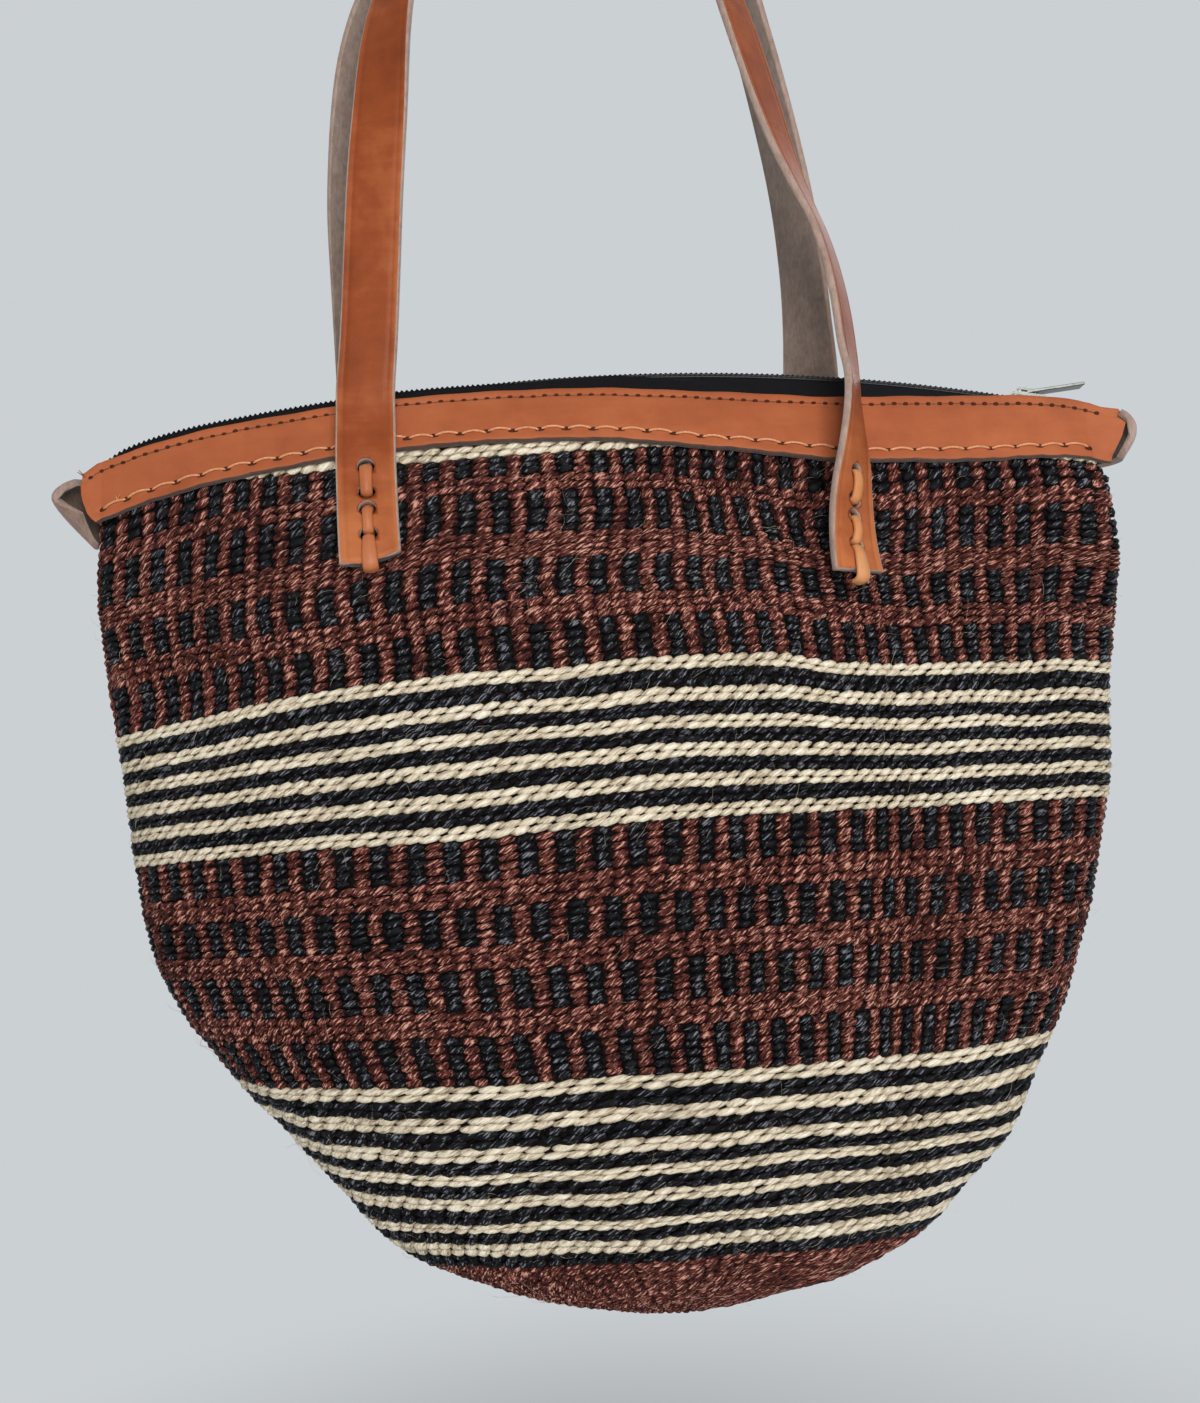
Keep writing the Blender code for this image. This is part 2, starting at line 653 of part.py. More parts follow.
def lace_line(start, end):
    """The lace's middle line in the strap's own plane: lengths down the strap, and heights off it."""
    h1 = start
    h2 = h1 + PAIR_PITCH
    h3 = h2 + PAIR_SPACE
    h4 = h3 + PAIR_PITCH
    return [(h1 - LACE_OFFSET, -LACE_BACK + LACE_THICKNESS / 2), (h1 - LACE_OFFSET, LACE_RISE),
            (h1 + LACE_OFFSET, LACE_FRONT),
            (h2 - LACE_OFFSET, LACE_FRONT), (h2 + LACE_OFFSET, LACE_RISE), (h2 + LACE_OFFSET, -LACE_RISE),
            (h2 + 2 * LACE_OFFSET, -LACE_BACK), (h3 - 2 * LACE_OFFSET, -LACE_BACK),
            (h3 - LACE_OFFSET, -LACE_RISE), (h3 - LACE_OFFSET, LACE_RISE), (h3 + LACE_OFFSET, LACE_FRONT),
            (h4 - 2.6 * LACE_OFFSET, LACE_FRONT), (h4 - LACE_TURN, LACE_RISE), (h4 - LACE_TURN, -LACE_RISE),
            (h4 - LACE_TURN / 2, -LACE_BACK), (h4 + LACE_TURN / 2, -LACE_BACK), (h4 + LACE_TURN, -LACE_RISE),
            (h4 + LACE_TURN, LACE_RISE), (h4 + 2.6 * LACE_OFFSET, LACE_FRONT),
            (end - LACE_OFFSET, LACE_FRONT), (end + LACE_OFFSET + LACE_THICKNESS / 2, LACE_RISE),
            (end + 1.3 * LACE_OFFSET + LACE_THICKNESS / 2, -LACE_RISE)]


def lace(name, ribbon, start, end):
    line = lace_line(start, end)
    bends = list(range(len(line)))
    lengths = [a for a, _ in line]
    heights = [b for _, b in line]

    def point(u, v):
        at = v * (len(line) - 1)
        length = interpolate(bends, lengths, at)
        high = interpolate(bends, heights, at)
        place_at, _, face, across = ribbon.frame(length)
        return place_at + face * high + across * LACE_WIDTH * (u - 0.5)
    return sheet(name, 1, LACE_POINTS, point, LACE_THICKNESS, 0.0, lace_leather)


def laced_end(place_name, x_start, side, hole_start, top_turn):
    end = hole_start + 2 * PAIR_PITCH + PAIR_SPACE + END_MARGIN
    ribbon = end_ribbon(x_start, side, end + LACE_TAIL + END_MARGIN, top_turn)
    made = ribbon.make("strap_end_" + place_name, 0.0, end, END_STATIONS)
    holes = (hole_start, hole_start + PAIR_PITCH, hole_start + PAIR_PITCH + PAIR_SPACE,
             hole_start + 2 * PAIR_PITCH + PAIR_SPACE)
    for number, length in enumerate(holes):
        place_at, _, face, _ = ribbon.frame(length)
        bm = bmesh.new()
        bmesh.ops.create_cone(bm, cap_ends=True, segments=HOLE_SIDES, radius1=HOLE_RADIUS, radius2=HOLE_RADIUS,
                              depth=4 * STRAP_THICKNESS)
        turn = Vector((0.0, 0.0, 1.0)).rotation_difference(face).to_matrix().to_4x4()
        bm.transform(Matrix.Translation(place_at) @ turn)
        mesh = bpy.data.meshes.new("hole")
        bm.to_mesh(mesh)
        bm.free()
        punch = place(f"punch_{place_name}_{number}", mesh, CUTTERS)
        combine(made, punch, "DIFFERENCE")
    lace("lace_" + place_name, ribbon, hole_start, end)


laced_end("front_left", LEG_REACH * FRONT_LOOP_X_SHARES[0], -1, LEFT_HOLE_START, FRONT_LOOP_TURNS[0])
laced_end("front_right", LEG_REACH * FRONT_LOOP_X_SHARES[-1], -1, RIGHT_HOLE_START, FRONT_LOOP_TURNS[-1])
laced_end("back_left", LEG_REACH * BACK_LOOP_X_SHARES[0], 1, LEFT_HOLE_START, BACK_LOOP_TURNS[0])
laced_end("back_right", LEG_REACH * BACK_LOOP_X_SHARES[-1], 1, RIGHT_HOLE_START, BACK_LOOP_TURNS[-1])
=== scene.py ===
"""Looks for the kiondo tote: twined sisal, leather round the rim, an open coil zip and laced straps.

Everything is in metres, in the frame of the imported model: +X to the right in the picture, -Y the
front and +Z up, with the origin on the underside of the straps' crown.
"""

import logging
import math
from dataclasses import dataclass
from enum import Enum
from typing import Callable, Sequence

import bmesh
import bpy
import numpy as np
from mathutils import Matrix, Vector


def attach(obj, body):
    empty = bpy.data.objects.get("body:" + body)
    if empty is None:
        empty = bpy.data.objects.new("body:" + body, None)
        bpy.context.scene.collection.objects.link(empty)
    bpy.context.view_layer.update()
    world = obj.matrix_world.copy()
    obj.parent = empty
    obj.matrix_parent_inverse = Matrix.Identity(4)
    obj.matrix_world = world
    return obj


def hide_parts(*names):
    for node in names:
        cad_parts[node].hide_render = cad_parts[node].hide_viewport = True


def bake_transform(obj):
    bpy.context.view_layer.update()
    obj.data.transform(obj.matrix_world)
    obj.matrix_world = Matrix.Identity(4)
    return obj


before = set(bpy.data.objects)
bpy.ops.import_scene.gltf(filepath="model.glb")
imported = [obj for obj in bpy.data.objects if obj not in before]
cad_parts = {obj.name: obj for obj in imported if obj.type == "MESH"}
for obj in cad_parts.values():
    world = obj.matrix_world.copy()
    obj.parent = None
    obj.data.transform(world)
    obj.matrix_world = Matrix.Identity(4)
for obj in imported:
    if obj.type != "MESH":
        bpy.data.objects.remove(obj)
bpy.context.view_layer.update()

log = logging.getLogger("kiondo")

FRONT = -1
BACK = 1
WELD = 1e-7

Array = np.ndarray
Colour = tuple[float, float, float]
Place = Callable[[Array, Array], Array]


# ---------------------------------------------------------------- shader expressions


class Tone:
    """A shader socket that joins in arithmetic, each operation adding one Math node."""

    def __init__(self, paint: "Paint", socket: bpy.types.NodeSocket) -> None:
        """Wrap a socket of a paint's node tree."""
        self.paint = paint
        self.socket = socket

    def math(self, operation: str, *others: "Tone | float") -> "Tone":
        """Add a Math node.

        Args:
            operation: The node's operation.
            others: Its further values.

        Returns:
            The node's result.
        """
        inputs = dict(enumerate((self, *others)))
        node = self.paint.node("ShaderNodeMath", {"operation": operation}, inputs)
        return Tone(self.paint, node.outputs[0])

    def __add__(self, other: "Tone | float") -> "Tone":
        """Sum."""
        return self.math("ADD", other)

    __radd__ = __add__

    def __sub__(self, other: "Tone | float") -> "Tone":
        """Difference."""
        return self.math("SUBTRACT", other)

    def __rsub__(self, other: float) -> "Tone":
        """A number minus this."""
        return (self * -1.0) + other

    def __mul__(self, other: "Tone | float") -> "Tone":
        """Product."""
        return self.math("MULTIPLY", other)

    __rmul__ = __mul__

    def __truediv__(self, other: "Tone | float") -> "Tone":
        """Quotient."""
        return self.math("DIVIDE", other)

    def __pow__(self, other: float) -> "Tone":
        """Power."""
        return self.math("POWER", other)

    def clamped(self) -> "Tone":
        """Held between 0 and 1."""
        return self.math("MINIMUM", 1.0).math("MAXIMUM", 0.0)

    def between(self, low: float, high: float) -> "Tone":
        """Rise smoothly from 0 at low to 1 at high."""
        node = self.paint.node("ShaderNodeMapRange", {"interpolation_type": "SMOOTHSTEP"},
                               {"Value": self, "From Min": low, "From Max": high})
        return Tone(self.paint, node.outputs[0])


class Paint:
    """One material, with the few node makers that every finish here uses."""

    def __init__(self, name: str, roughness: float = 0.5, metallic: float = 0.0, coat: float = 0.0,
                 coat_roughness: float = 0.1, sheen: float = 0.0, gloss: float = 0.5) -> None:
        """Make a Principled material and set what is the same all over it."""
        self.material = bpy.data.materials.new(name)
        self.material.use_nodes = True
        self.tree = self.material.node_tree
        self.shader = self.tree.nodes["Principled BSDF"]
        self.shader.inputs["Roughness"].default_value = roughness
        self.shader.inputs["Metallic"].default_value = metallic
        self.shader.inputs["Coat Weight"].default_value = coat
        self.shader.inputs["Coat Roughness"].default_value = coat_roughness
        self.shader.inputs["Sheen Weight"].default_value = sheen
        self.shader.inputs["Specular IOR Level"].default_value = gloss

    def node(self, kind: str, settings: dict | None = None, inputs: dict | None = None) -> bpy.types.Node:
        """Add a node.

        Args:
            kind: The node's type.
            settings: Its properties, set first. "stops" fills a colour ramp.
            inputs: Values or links of its sockets, by name or number.

        Returns:
            The node.
        """
        made = self.tree.nodes.new(kind)
        for key, value in (settings or {}).items():
            if key == "stops":
                self.fill_ramp(made.color_ramp, value)
            else:
                setattr(made, key, value)
        for key, value in (inputs or {}).items():
            self.feed(made.inputs[key], value)
        return made

    def fill_ramp(self, ramp: bpy.types.ColorRamp, stops: Sequence[tuple[float, Colour]]) -> None:
        """Give a colour ramp its stops."""
        while len(ramp.elements) < len(stops):
            ramp.elements.new(1.0)
        for element, (position, colour) in zip(ramp.elements, stops):
            element.position = position
            element.color = (*colour, 1.0)

    def feed(self, socket: bpy.types.NodeSocket, value: object) -> None:
        """Link a socket, or set its value."""
        if isinstance(value, Tone):
            self.tree.links.new(value.socket, socket)
        elif isinstance(value, bpy.types.NodeSocket):
            self.tree.links.new(value, socket)
        elif isinstance(value, tuple) and len(value) == 3 and socket.type == "RGBA":
            socket.default_value = (*value, 1.0)
        else:
            socket.default_value = value

    def object_place(self, scale: tuple[float, float, float] = (1.0, 1.0, 1.0)) -> bpy.types.NodeSocket:
        """Object coordinates, scaled."""
        source = self.node("ShaderNodeTexCoord").outputs["Object"]
        return self.node("ShaderNodeMapping", None, {"Vector": source, "Scale": scale}).outputs[0]

    def cloth_place(self, sizes: tuple[float, float, float], turn: float = 0.0) -> bpy.types.NodeSocket:
        """The piece's own UV map, turned and then measured in sizes."""
        source = self.node("ShaderNodeUVMap", {"uv_map": "UVMap"}).outputs[0]
        inputs = {"Vector": source, "Scale": sizes, "Rotation": (0.0, 0.0, turn)}
        return self.node("ShaderNodeMapping", {"vector_type": "TEXTURE"}, inputs).outputs[0]

    def attribute(self, name: str) -> Tone:
        """A number kept on the piece's points."""
        node = self.node("ShaderNodeAttribute", {"attribute_name": name})
        return Tone(self, node.outputs["Fac"])

    def noise(self, place: bpy.types.NodeSocket, scale: float, detail: float = 2.0,
              roughness: float = 0.5, distortion: float = 0.0) -> Tone:
        """Cloudy noise from 0 to 1."""
        inputs = {"Vector": place, "Scale": scale, "Detail": detail, "Roughness": roughness,
                  "Distortion": distortion}
        return Tone(self, self.node("ShaderNodeTexNoise", None, inputs).outputs[0])

    def cells(self, place: bpy.types.NodeSocket, scale: float, feature: str = "F1") -> Tone:
        """Distance to the nearest cell centre, or to the nearest cell edge."""
        node = self.node("ShaderNodeTexVoronoi", {"feature": feature}, {"Vector": place, "Scale": scale})
        return Tone(self, node.outputs["Distance"])

    def waves(self, place: bpy.types.NodeSocket, scale: float, direction: str, distortion: float = 0.0) -> Tone:
        """Even ridges across one direction."""
        settings = {"wave_type": "BANDS", "bands_direction": direction}
        inputs = {"Vector": place, "Scale": scale, "Distortion": distortion}
        return Tone(self, self.node("ShaderNodeTexWave", settings, inputs).outputs[1])

    def ramp(self, factor: Tone, stops: Sequence[tuple[float, Colour]]) -> bpy.types.NodeSocket:
        """A colour from a number."""
        return self.node("ShaderNodeValToRGB", {"stops": stops}, {0: factor}).outputs[0]

    def mix(self, factor: Tone | float, low: object, high: object, blend: str = "MIX") -> bpy.types.NodeSocket:
        """Blend two colours."""
        settings = {"data_type": "RGBA", "blend_type": blend}
        return self.node("ShaderNodeMix", settings, {0: factor, 6: low, 7: high}).outputs[2]

    def dress(self, colour: bpy.types.NodeSocket, roughness: Tone | None = None,
              relief: Sequence[tuple[Tone, float, float]] = ()) -> "Paint":
        """Feed the shader.

        Args:
            colour: The base colour.
            roughness: A roughness that varies, if it does.
            relief: Heights with their strengths and distances in metres, coarse ones first.

        Returns:
            This paint.
        """
        self.feed(self.shader.inputs["Base Color"], colour)
        if roughness is not None:
            self.feed(self.shader.inputs["Roughness"], roughness)
        normal = None
        for height, strength, distance in relief:
            inputs = {"Height": height, "Strength": strength, "Distance": distance}
            if normal is not None:
                inputs["Normal"] = normal
            normal = self.node("ShaderNodeBump", None, inputs).outputs[0]
        if normal is not None:
            self.feed(self.shader.inputs["Normal"], normal)
        return self


# ---------------------------------------------------------------- finishes


@dataclass(frozen=True)
class YarnFinish:
    """Twisted sisal in one dye."""

    name: str
    # shade, light and glint are painted shade, painted light and painted highlight; body is the yarn's own colour.
    shade: Colour
    body: Colour
    light: Colour
    glint: Colour
    roughness: float
    gloss: float
    relief: float = 0.00022
    contrast: float = 1.0

    def paint(self) -> Paint:
        """Fine strands laid askew along each stitch and uneven dye, with a painted highlight on each stitch's crest
        and painted shade between stitches.
        """
        paint = Paint(self.name, roughness=self.roughness, gloss=self.gloss)
        tone = paint.attribute("tone")
        crest = paint.attribute("crest")
        strands = paint.noise(paint.cloth_place((0.085, 0.42, 1.0), 0.62), 1.0, 2.0, 0.6, 0.2)
        fine = paint.noise(paint.cloth_place((0.045, 0.25, 1.0), 0.7), 1.0, 2.0, 0.6)
        dye = paint.noise(paint.object_place(), 30.0, 3.0, 0.6)
        streak = (strands - 0.5) * (1.9 * self.contrast) + (fine - 0.5) * (1.3 * self.contrast)
        # crest * 0.58 paints light on each stitch's top and shade at its sides and ends; the brightest strands also
        # reach the painted glint.
        mixed = (streak + (tone - 0.5) * 0.16 + (dye - 0.5) * 0.4 + crest * 0.58 + 0.01).clamped()
        stops = ((0.10, self.shade), (0.45, self.body), (0.72, self.light), (0.93, self.glint))
        colour = paint.ramp(mixed, stops)
        rough = strands * -0.3 + (self.roughness + 0.15)
        return paint.dress(colour, rough, ((strands, 1.0, self.relief), (fine, 0.8, self.relief * 0.5)))


@dataclass(frozen=True)
class LeatherFinish:
    """Vegetable-tanned hide with its grain, pores, rubbed marks and a waxed gloss."""

    name: str
    deep: Colour
    body: Colour
    pale: Colour
    roughness: float
    coat: float
    gloss: float = 0.3
    grain: float = 0.00006

    def paint(self) -> Paint:
        """Mottled colour over fine pores, with rubbed streaks, darker handled spots, and lighter places from wear and
        from painted light.
        """
        paint = Paint(self.name, roughness=self.roughness, coat=self.coat, coat_roughness=0.24, gloss=self.gloss)
        place = paint.object_place()
        mottle = paint.noise(place, 24.0, 4.0, 0.55, 0.4)
        blotch = paint.noise(place, 90.0, 3.0, 0.6)
        streaks = paint.noise(paint.object_place((30.0, 30.0, 240.0)), 1.0, 3.0, 0.6)
        pores = paint.cells(place, 1900.0)
        creases = paint.cells(paint.object_place((1.0, 1.0, 1.3)), 520.0, "DISTANCE_TO_EDGE").between(0.0, 0.12)
        # This number lightens the colour: wear on rubbed edges, and painted light on the straps' lower ends.
        wear_and_light = paint.attribute("wear_and_light")
        mixed = (mottle * 0.55 + blotch * 0.3 + streaks * 0.15 + wear_and_light * 0.35).clamped()
        colour = paint.ramp(mixed, ((0.26, self.deep), (0.52, self.body), (0.8, self.pale)))
        spots = paint.noise(place, 420.0, 2.0, 0.7).between(0.66, 0.78)
        colour = paint.mix(spots * 0.3, colour, self.deep)
        rough = mottle * 0.16 + pores * 0.2 + (self.roughness - 0.14)
        relief = ((creases, 0.35, self.grain), (pores, 0.5, self.grain * 0.6), (blotch, 0.4, self.grain * 3.0))
        return paint.dress(colour, rough, relief)


@dataclass(frozen=True)
class FleshFinish:
    """The rough side and the cut edge of the hide."""

    name: str
    deep: Colour
    body: Colour
    pale: Colour

    def paint(self) -> Paint:
        """Matted fibres, pressed in layers."""
        paint = Paint(self.name, roughness=0.88, sheen=0.25)
        place = paint.object_place()
        layers = paint.noise(paint.object_place((1.0, 1.0, 0.35)), 900.0, 4.0, 0.65)
        mats = paint.noise(place, 160.0, 4.0, 0.6)
        patches = paint.noise(place, 30.0, 2.0)
        mixed = (layers * 0.45 + mats * 0.35 + patches * 0.2).clamped()
        colour = paint.ramp(mixed, ((0.3, self.deep), (0.52, self.body), (0.75, self.pale)))
        return paint.dress(colour, None, ((mats, 0.6, 0.0003), (layers, 0.8, 0.00012)))


@dataclass(frozen=True)
class TapeFinish:
    """Black woven tape."""

    name: str
    deep: Colour
    pale: Colour

    def paint(self) -> Paint:
        """A fine herringbone of warp and weft."""
        paint = Paint(self.name, roughness=0.9, gloss=0.15)
        ribs = paint.waves(paint.object_place(), 900.0, "X")
        cross = paint.waves(paint.object_place(), 700.0, "DIAGONAL")
        lint = paint.noise(paint.object_place(), 300.0, 3.0, 0.7)
        colour = paint.ramp((ribs * 0.4 + cross * 0.25 + lint * 0.35).clamped(), ((0.3, self.deep), (0.8, self.pale)))
        return paint.dress(colour, None, ((ribs, 0.6, 0.0001), (cross, 0.5, 0.0001)))


@dataclass(frozen=True)
class NylonFinish:
    """Black coil nylon, or a waxed sewing thread."""

    name: str
    deep: Colour
    pale: Colour
    roughness: float
    scale: float = 700.0
    gloss: float = 0.35

    def paint(self) -> Paint:
        """A soft gloss with dust and drawn lines in it."""
        paint = Paint(self.name, roughness=self.roughness, gloss=self.gloss)
        place = paint.object_place()
        dust = paint.noise(place, self.scale, 3.0, 0.6)
        drawn = paint.noise(place, self.scale * 4.0, 2.0, 0.5)
        colour = paint.ramp((dust * 0.6 + drawn * 0.4).clamped(), ((0.35, self.deep), (0.72, self.pale)))
        return paint.dress(colour, dust * 0.3 + (self.roughness - 0.1), ((drawn, 0.4, 0.00005),))


@dataclass(frozen=True)
class MetalFinish:
    """Nickel-plated die casting, dulled by handling."""

    name: str
    deep: Colour
    pale: Colour

    def paint(self) -> Paint:
        """Fine brushing, tarnish and small scratches."""
        paint = Paint(self.name, roughness=0.34, metallic=1.0)
        brushed = paint.noise(paint.object_place((300.0, 2600.0, 2600.0)), 1.0, 3.0, 0.6)
        tarnish = paint.noise(paint.object_place(), 260.0, 4.0, 0.65)
        colour = paint.ramp((tarnish * 0.7 + brushed * 0.3).clamped(), ((0.3, self.deep), (0.62, self.pale)))
        return paint.dress(colour, brushed * 0.22 + tarnish * 0.2 + 0.14, ((brushed, 0.25, 0.00002),))


BROWN_YARN = YarnFinish("russet_sisal", (0.009, 0.0026, 0.0026), (0.080, 0.020, 0.0150), (0.175, 0.048, 0.034),
                        (0.56, 0.29, 0.22), 0.6, 0.09, 0.00024, 1.6)
BLACK_YARN = YarnFinish("black_sisal", (0.0008, 0.0008, 0.0010), (0.0032, 0.0032, 0.0043), (0.009, 0.009, 0.012),
                        (0.17, 0.174, 0.195), 0.52, 0.10, 0.00024, 1.45)
CREAM_YARN = YarnFinish("cream_sisal", (0.20, 0.145, 0.09), (0.62, 0.535, 0.39), (0.78, 0.71, 0.57),
                        (0.90, 0.86, 0.77), 0.62, 0.3, 0.00014, 0.7)
# The core yarn's near-black is painted shade: it fills the gaps between stitches and the basket's inside.
CORE_SHADE_YARN = YarnFinish("sisal_core_shade", (0.002, 0.001, 0.001), (0.008, 0.004, 0.003), (0.02, 0.009, 0.007),
                       (0.04, 0.02, 0.015), 0.8, 0.1)
BAND_LEATHER = LeatherFinish("band_leather", (0.27, 0.067, 0.023), (0.385, 0.103, 0.037), (0.47, 0.150, 0.062),
                             0.56, 0.0, 0.2)
STRAP_LEATHER = LeatherFinish("strap_leather", (0.135, 0.027, 0.0075), (0.255, 0.057, 0.0155), (0.45, 0.140, 0.048),
                              0.42, 0.04, 0.12)
LACE_LEATHER = LeatherFinish("lace_leather", (0.28, 0.070, 0.024), (0.40, 0.118, 0.040), (0.52, 0.19, 0.073),
                             0.46, 0.06)
PALE_LACE = LeatherFinish("pale_lace_leather", (0.36, 0.120, 0.040), (0.52, 0.205, 0.075), (0.60, 0.285, 0.125),
                          0.5, 0.03)
FLESH = FleshFinish("flesh_side", (0.13, 0.090, 0.070), (0.24, 0.175, 0.14), (0.36, 0.28, 0.23))
CUT_EDGE = FleshFinish("cut_edge", (0.19, 0.115, 0.085), (0.34, 0.235, 0.19), (0.47, 0.36, 0.30))
# The band's lower cut edge: its own darker brown, deepened to near-black by painted shade under the band.
BAND_EDGE_SHADE = FleshFinish("band_edge_shade", (0.03, 0.014, 0.009), (0.07, 0.034, 0.021), (0.13, 0.073, 0.048))
RUBBED_FOLD = FleshFinish("rubbed_fold", (0.14, 0.078, 0.055), (0.26, 0.165, 0.125), (0.38, 0.27, 0.22))
# A darker copy of the flesh side: painted shade inside the folded ends.
FOLD_SHADE = FleshFinish("fold_inside_shade", (0.030, 0.019, 0.014), (0.110, 0.074, 0.057), (0.23, 0.165, 0.130))
TAPE_CLOTH = TapeFinish("zip_cloth", (0.002, 0.002, 0.0025), (0.010, 0.010, 0.012))
COIL_NYLON = NylonFinish("coil_nylon", (0.002, 0.002, 0.003), (0.012, 0.012, 0.014), 0.42)
SEAM_THREAD = NylonFinish("seam_thread", (0.46, 0.16, 0.06), (0.80, 0.42, 0.22), 0.4, 1500.0)
EDGE_THREAD = NylonFinish("edge_thread", (0.10, 0.030, 0.014), (0.24, 0.085, 0.040), 0.6, 1500.0)
# Painted shade: the dark inside of the awl holes, laid on the leather as flat discs.
AWL_HOLE_SHADE = NylonFinish("awl_hole_shade", (0.040, 0.011, 0.006), (0.095, 0.028, 0.014), 0.8, 1500.0, 0.1)
NICKEL = MetalFinish("nickel", (0.06, 0.064, 0.060), (0.20, 0.21, 0.20))


class Palette:
    """Every finish, painted once."""

    def __init__(self) -> None:
        """Paint them."""
        self.brown = BROWN_YARN.paint()
        self.black = BLACK_YARN.paint()
        self.cream = CREAM_YARN.paint()
        self.core = CORE_SHADE_YARN.paint()
        self.flesh = FLESH.paint()
        self.cut = CUT_EDGE.paint()
        self.band = (BAND_LEATHER.paint(), BAND_EDGE_SHADE.paint(), self.flesh)
        self.ear = (RUBBED_FOLD.paint(), self.cut, FOLD_SHADE.paint())
        self.strap = (STRAP_LEATHER.paint(), self.cut, self.flesh)
        self.lace = (LACE_LEATHER.paint(),) * 3
        self.pale_lace = (PALE_LACE.paint(),) * 3
        self.tape = TAPE_CLOTH.paint()
        self.coil = COIL_NYLON.paint()
        self.seam = SEAM_THREAD.paint()
        self.edge = EDGE_THREAD.paint()
        self.hole = AWL_HOLE_SHADE.paint()
        self.metal = NICKEL.paint()


# ---------------------------------------------------------------- shape tools


def through(stations: Sequence[float], values: Sequence[float], at: Array | float) -> Array:
    """Smooth curve through a table, level beyond its ends.

    Args:
        stations: Where the table is given.
        values: What it gives there.
        at: Where it is wanted.

    Returns:
        The curve's values, one for each place.
    """
    s = np.asarray(stations, float)
    v = np.asarray(values, float)
    x = np.asarray(at, float)
    last = len(s) - 1
    low = np.maximum(np.arange(last + 1) - 1, 0)
    high = np.minimum(np.arange(last + 1) + 1, last)
    slope = (v[high] - v[low]) / (s[high] - s[low])
    k = np.clip(np.searchsorted(s, x, side="left") - 1, 0, last - 1)
    span = s[k + 1] - s[k]
    t = np.clip((x - s[k]) / span, 0.0, 1.0)
    rise = 3 * t ** 2 - 2 * t ** 3
    start = (t ** 3 - 2 * t ** 2 + t) * span * slope[k]
    end = (t ** 3 - t ** 2) * span * slope[k + 1]
    return (1 - rise) * v[k] + start + rise * v[k + 1] + end


def unit(vectors: Array) -> Array:
    """Vectors at length one."""
    size = np.linalg.norm(vectors, axis=-1, keepdims=True)
    return vectors / np.maximum(size, 1e-12)


def finished(name: str, bm: bmesh.types.BMesh, looks: Sequence[Paint]) -> bpy.types.Object:
    """Make a shaded object of a bmesh.

    Args:
        name: The piece's name.
        bm: Its mesh, which is freed.
        looks: Its paints, in the order of the faces' material numbers.

    Returns:
        The object, at the origin.
    """
    mesh = bpy.data.meshes.new(name)
    bm.to_mesh(mesh)
    bm.free()
    for look in looks:
        mesh.materials.append(look.material)
    mesh.polygons.foreach_set("use_smooth", np.ones(len(mesh.polygons), bool))
    obj = bpy.data.objects.new(name, mesh)
    bpy.context.scene.collection.objects.link(obj)
    return obj


def keep_numbers(obj: bpy.types.Object, name: str, numbers: Array) -> None:
    """Keep one number for each point of a piece, for its paint."""
    layer = obj.data.attributes.new(name, "FLOAT", "POINT")
    layer.data.foreach_set("value", np.asarray(numbers, np.float32))


@dataclass(frozen=True)
class Section:
    """The closed outline of a strip across its run: places across it, heights off it and a look for each."""

    across: Array
    height: Array
    look: Array

    @staticmethod
    def of_strip(width: float, thickness: float, corner: float, lines: Sequence[float] = (),
                 line_depth: float = 0.00022, crown: float = 0.0, steps: int = 8,
                 looks: tuple[int, int, int] = (0, 1, 2)) -> "Section":
        """Outline of a flat strip.

        Args:
            width: Its width.
            thickness: Its thickness.
            corner: The radius of its long edges.
            lines: Shares of the half width where tooled lines run on the good side.
            line_depth: How deep they are.
            crown: How much higher the middle of the good side is.
            steps: Steps across the good side between the lines.
            looks: Material numbers of the good side, the edges and the rough side.

        Returns:
            The outline, round once.
        """
        half = width / 2
        top = thickness / 2
        shares = set(np.linspace(-1.0, 1.0, steps + 1))
        groove = 0.0004 / half
        for line in lines:
            for side in (-1, 1):
                shares.update((side * line - groove, side * line, side * line + groove))
        across: list[float] = []
        height: list[float] = []
        look: list[int] = []
        inner = half - corner
        for share in sorted(shares):
            dip = line_depth if any(abs(abs(share) - line) < 1e-9 for line in lines) else 0.0
            across.append(share * inner)
            height.append(top + crown * (1 - share ** 2) - dip)
            look.append(looks[0])
        look[-1] = looks[1]
        for turn in (30.0, 60.0, 90.0, 120.0, 150.0):
            turn = math.radians(turn)
            across.append(inner + corner * math.sin(turn))
            height.append(max(top - corner, 0.0) * math.copysign(1.0, math.cos(turn)) * (abs(math.cos(turn)) > 1e-6)
                          + corner * math.cos(turn))
            look.append(looks[1])
        for share in np.linspace(1.0, -1.0, 5):
            across.append(share * inner)
            height.append(-top)
            look.append(looks[2])
        look[-1] = looks[1]
        for turn in (210.0, 240.0, 270.0, 300.0, 330.0):
            turn = math.radians(turn)
            across.append(-inner + corner * math.sin(turn))
            height.append(max(top - corner, 0.0) * math.copysign(1.0, math.cos(turn)) * (abs(math.cos(turn)) > 1e-6)
                          + corner * math.cos(turn))
            look.append(looks[1])
        across.append(across[0])
        height.append(height[0])
        return Section(np.array(across), np.array(height), np.array(look))


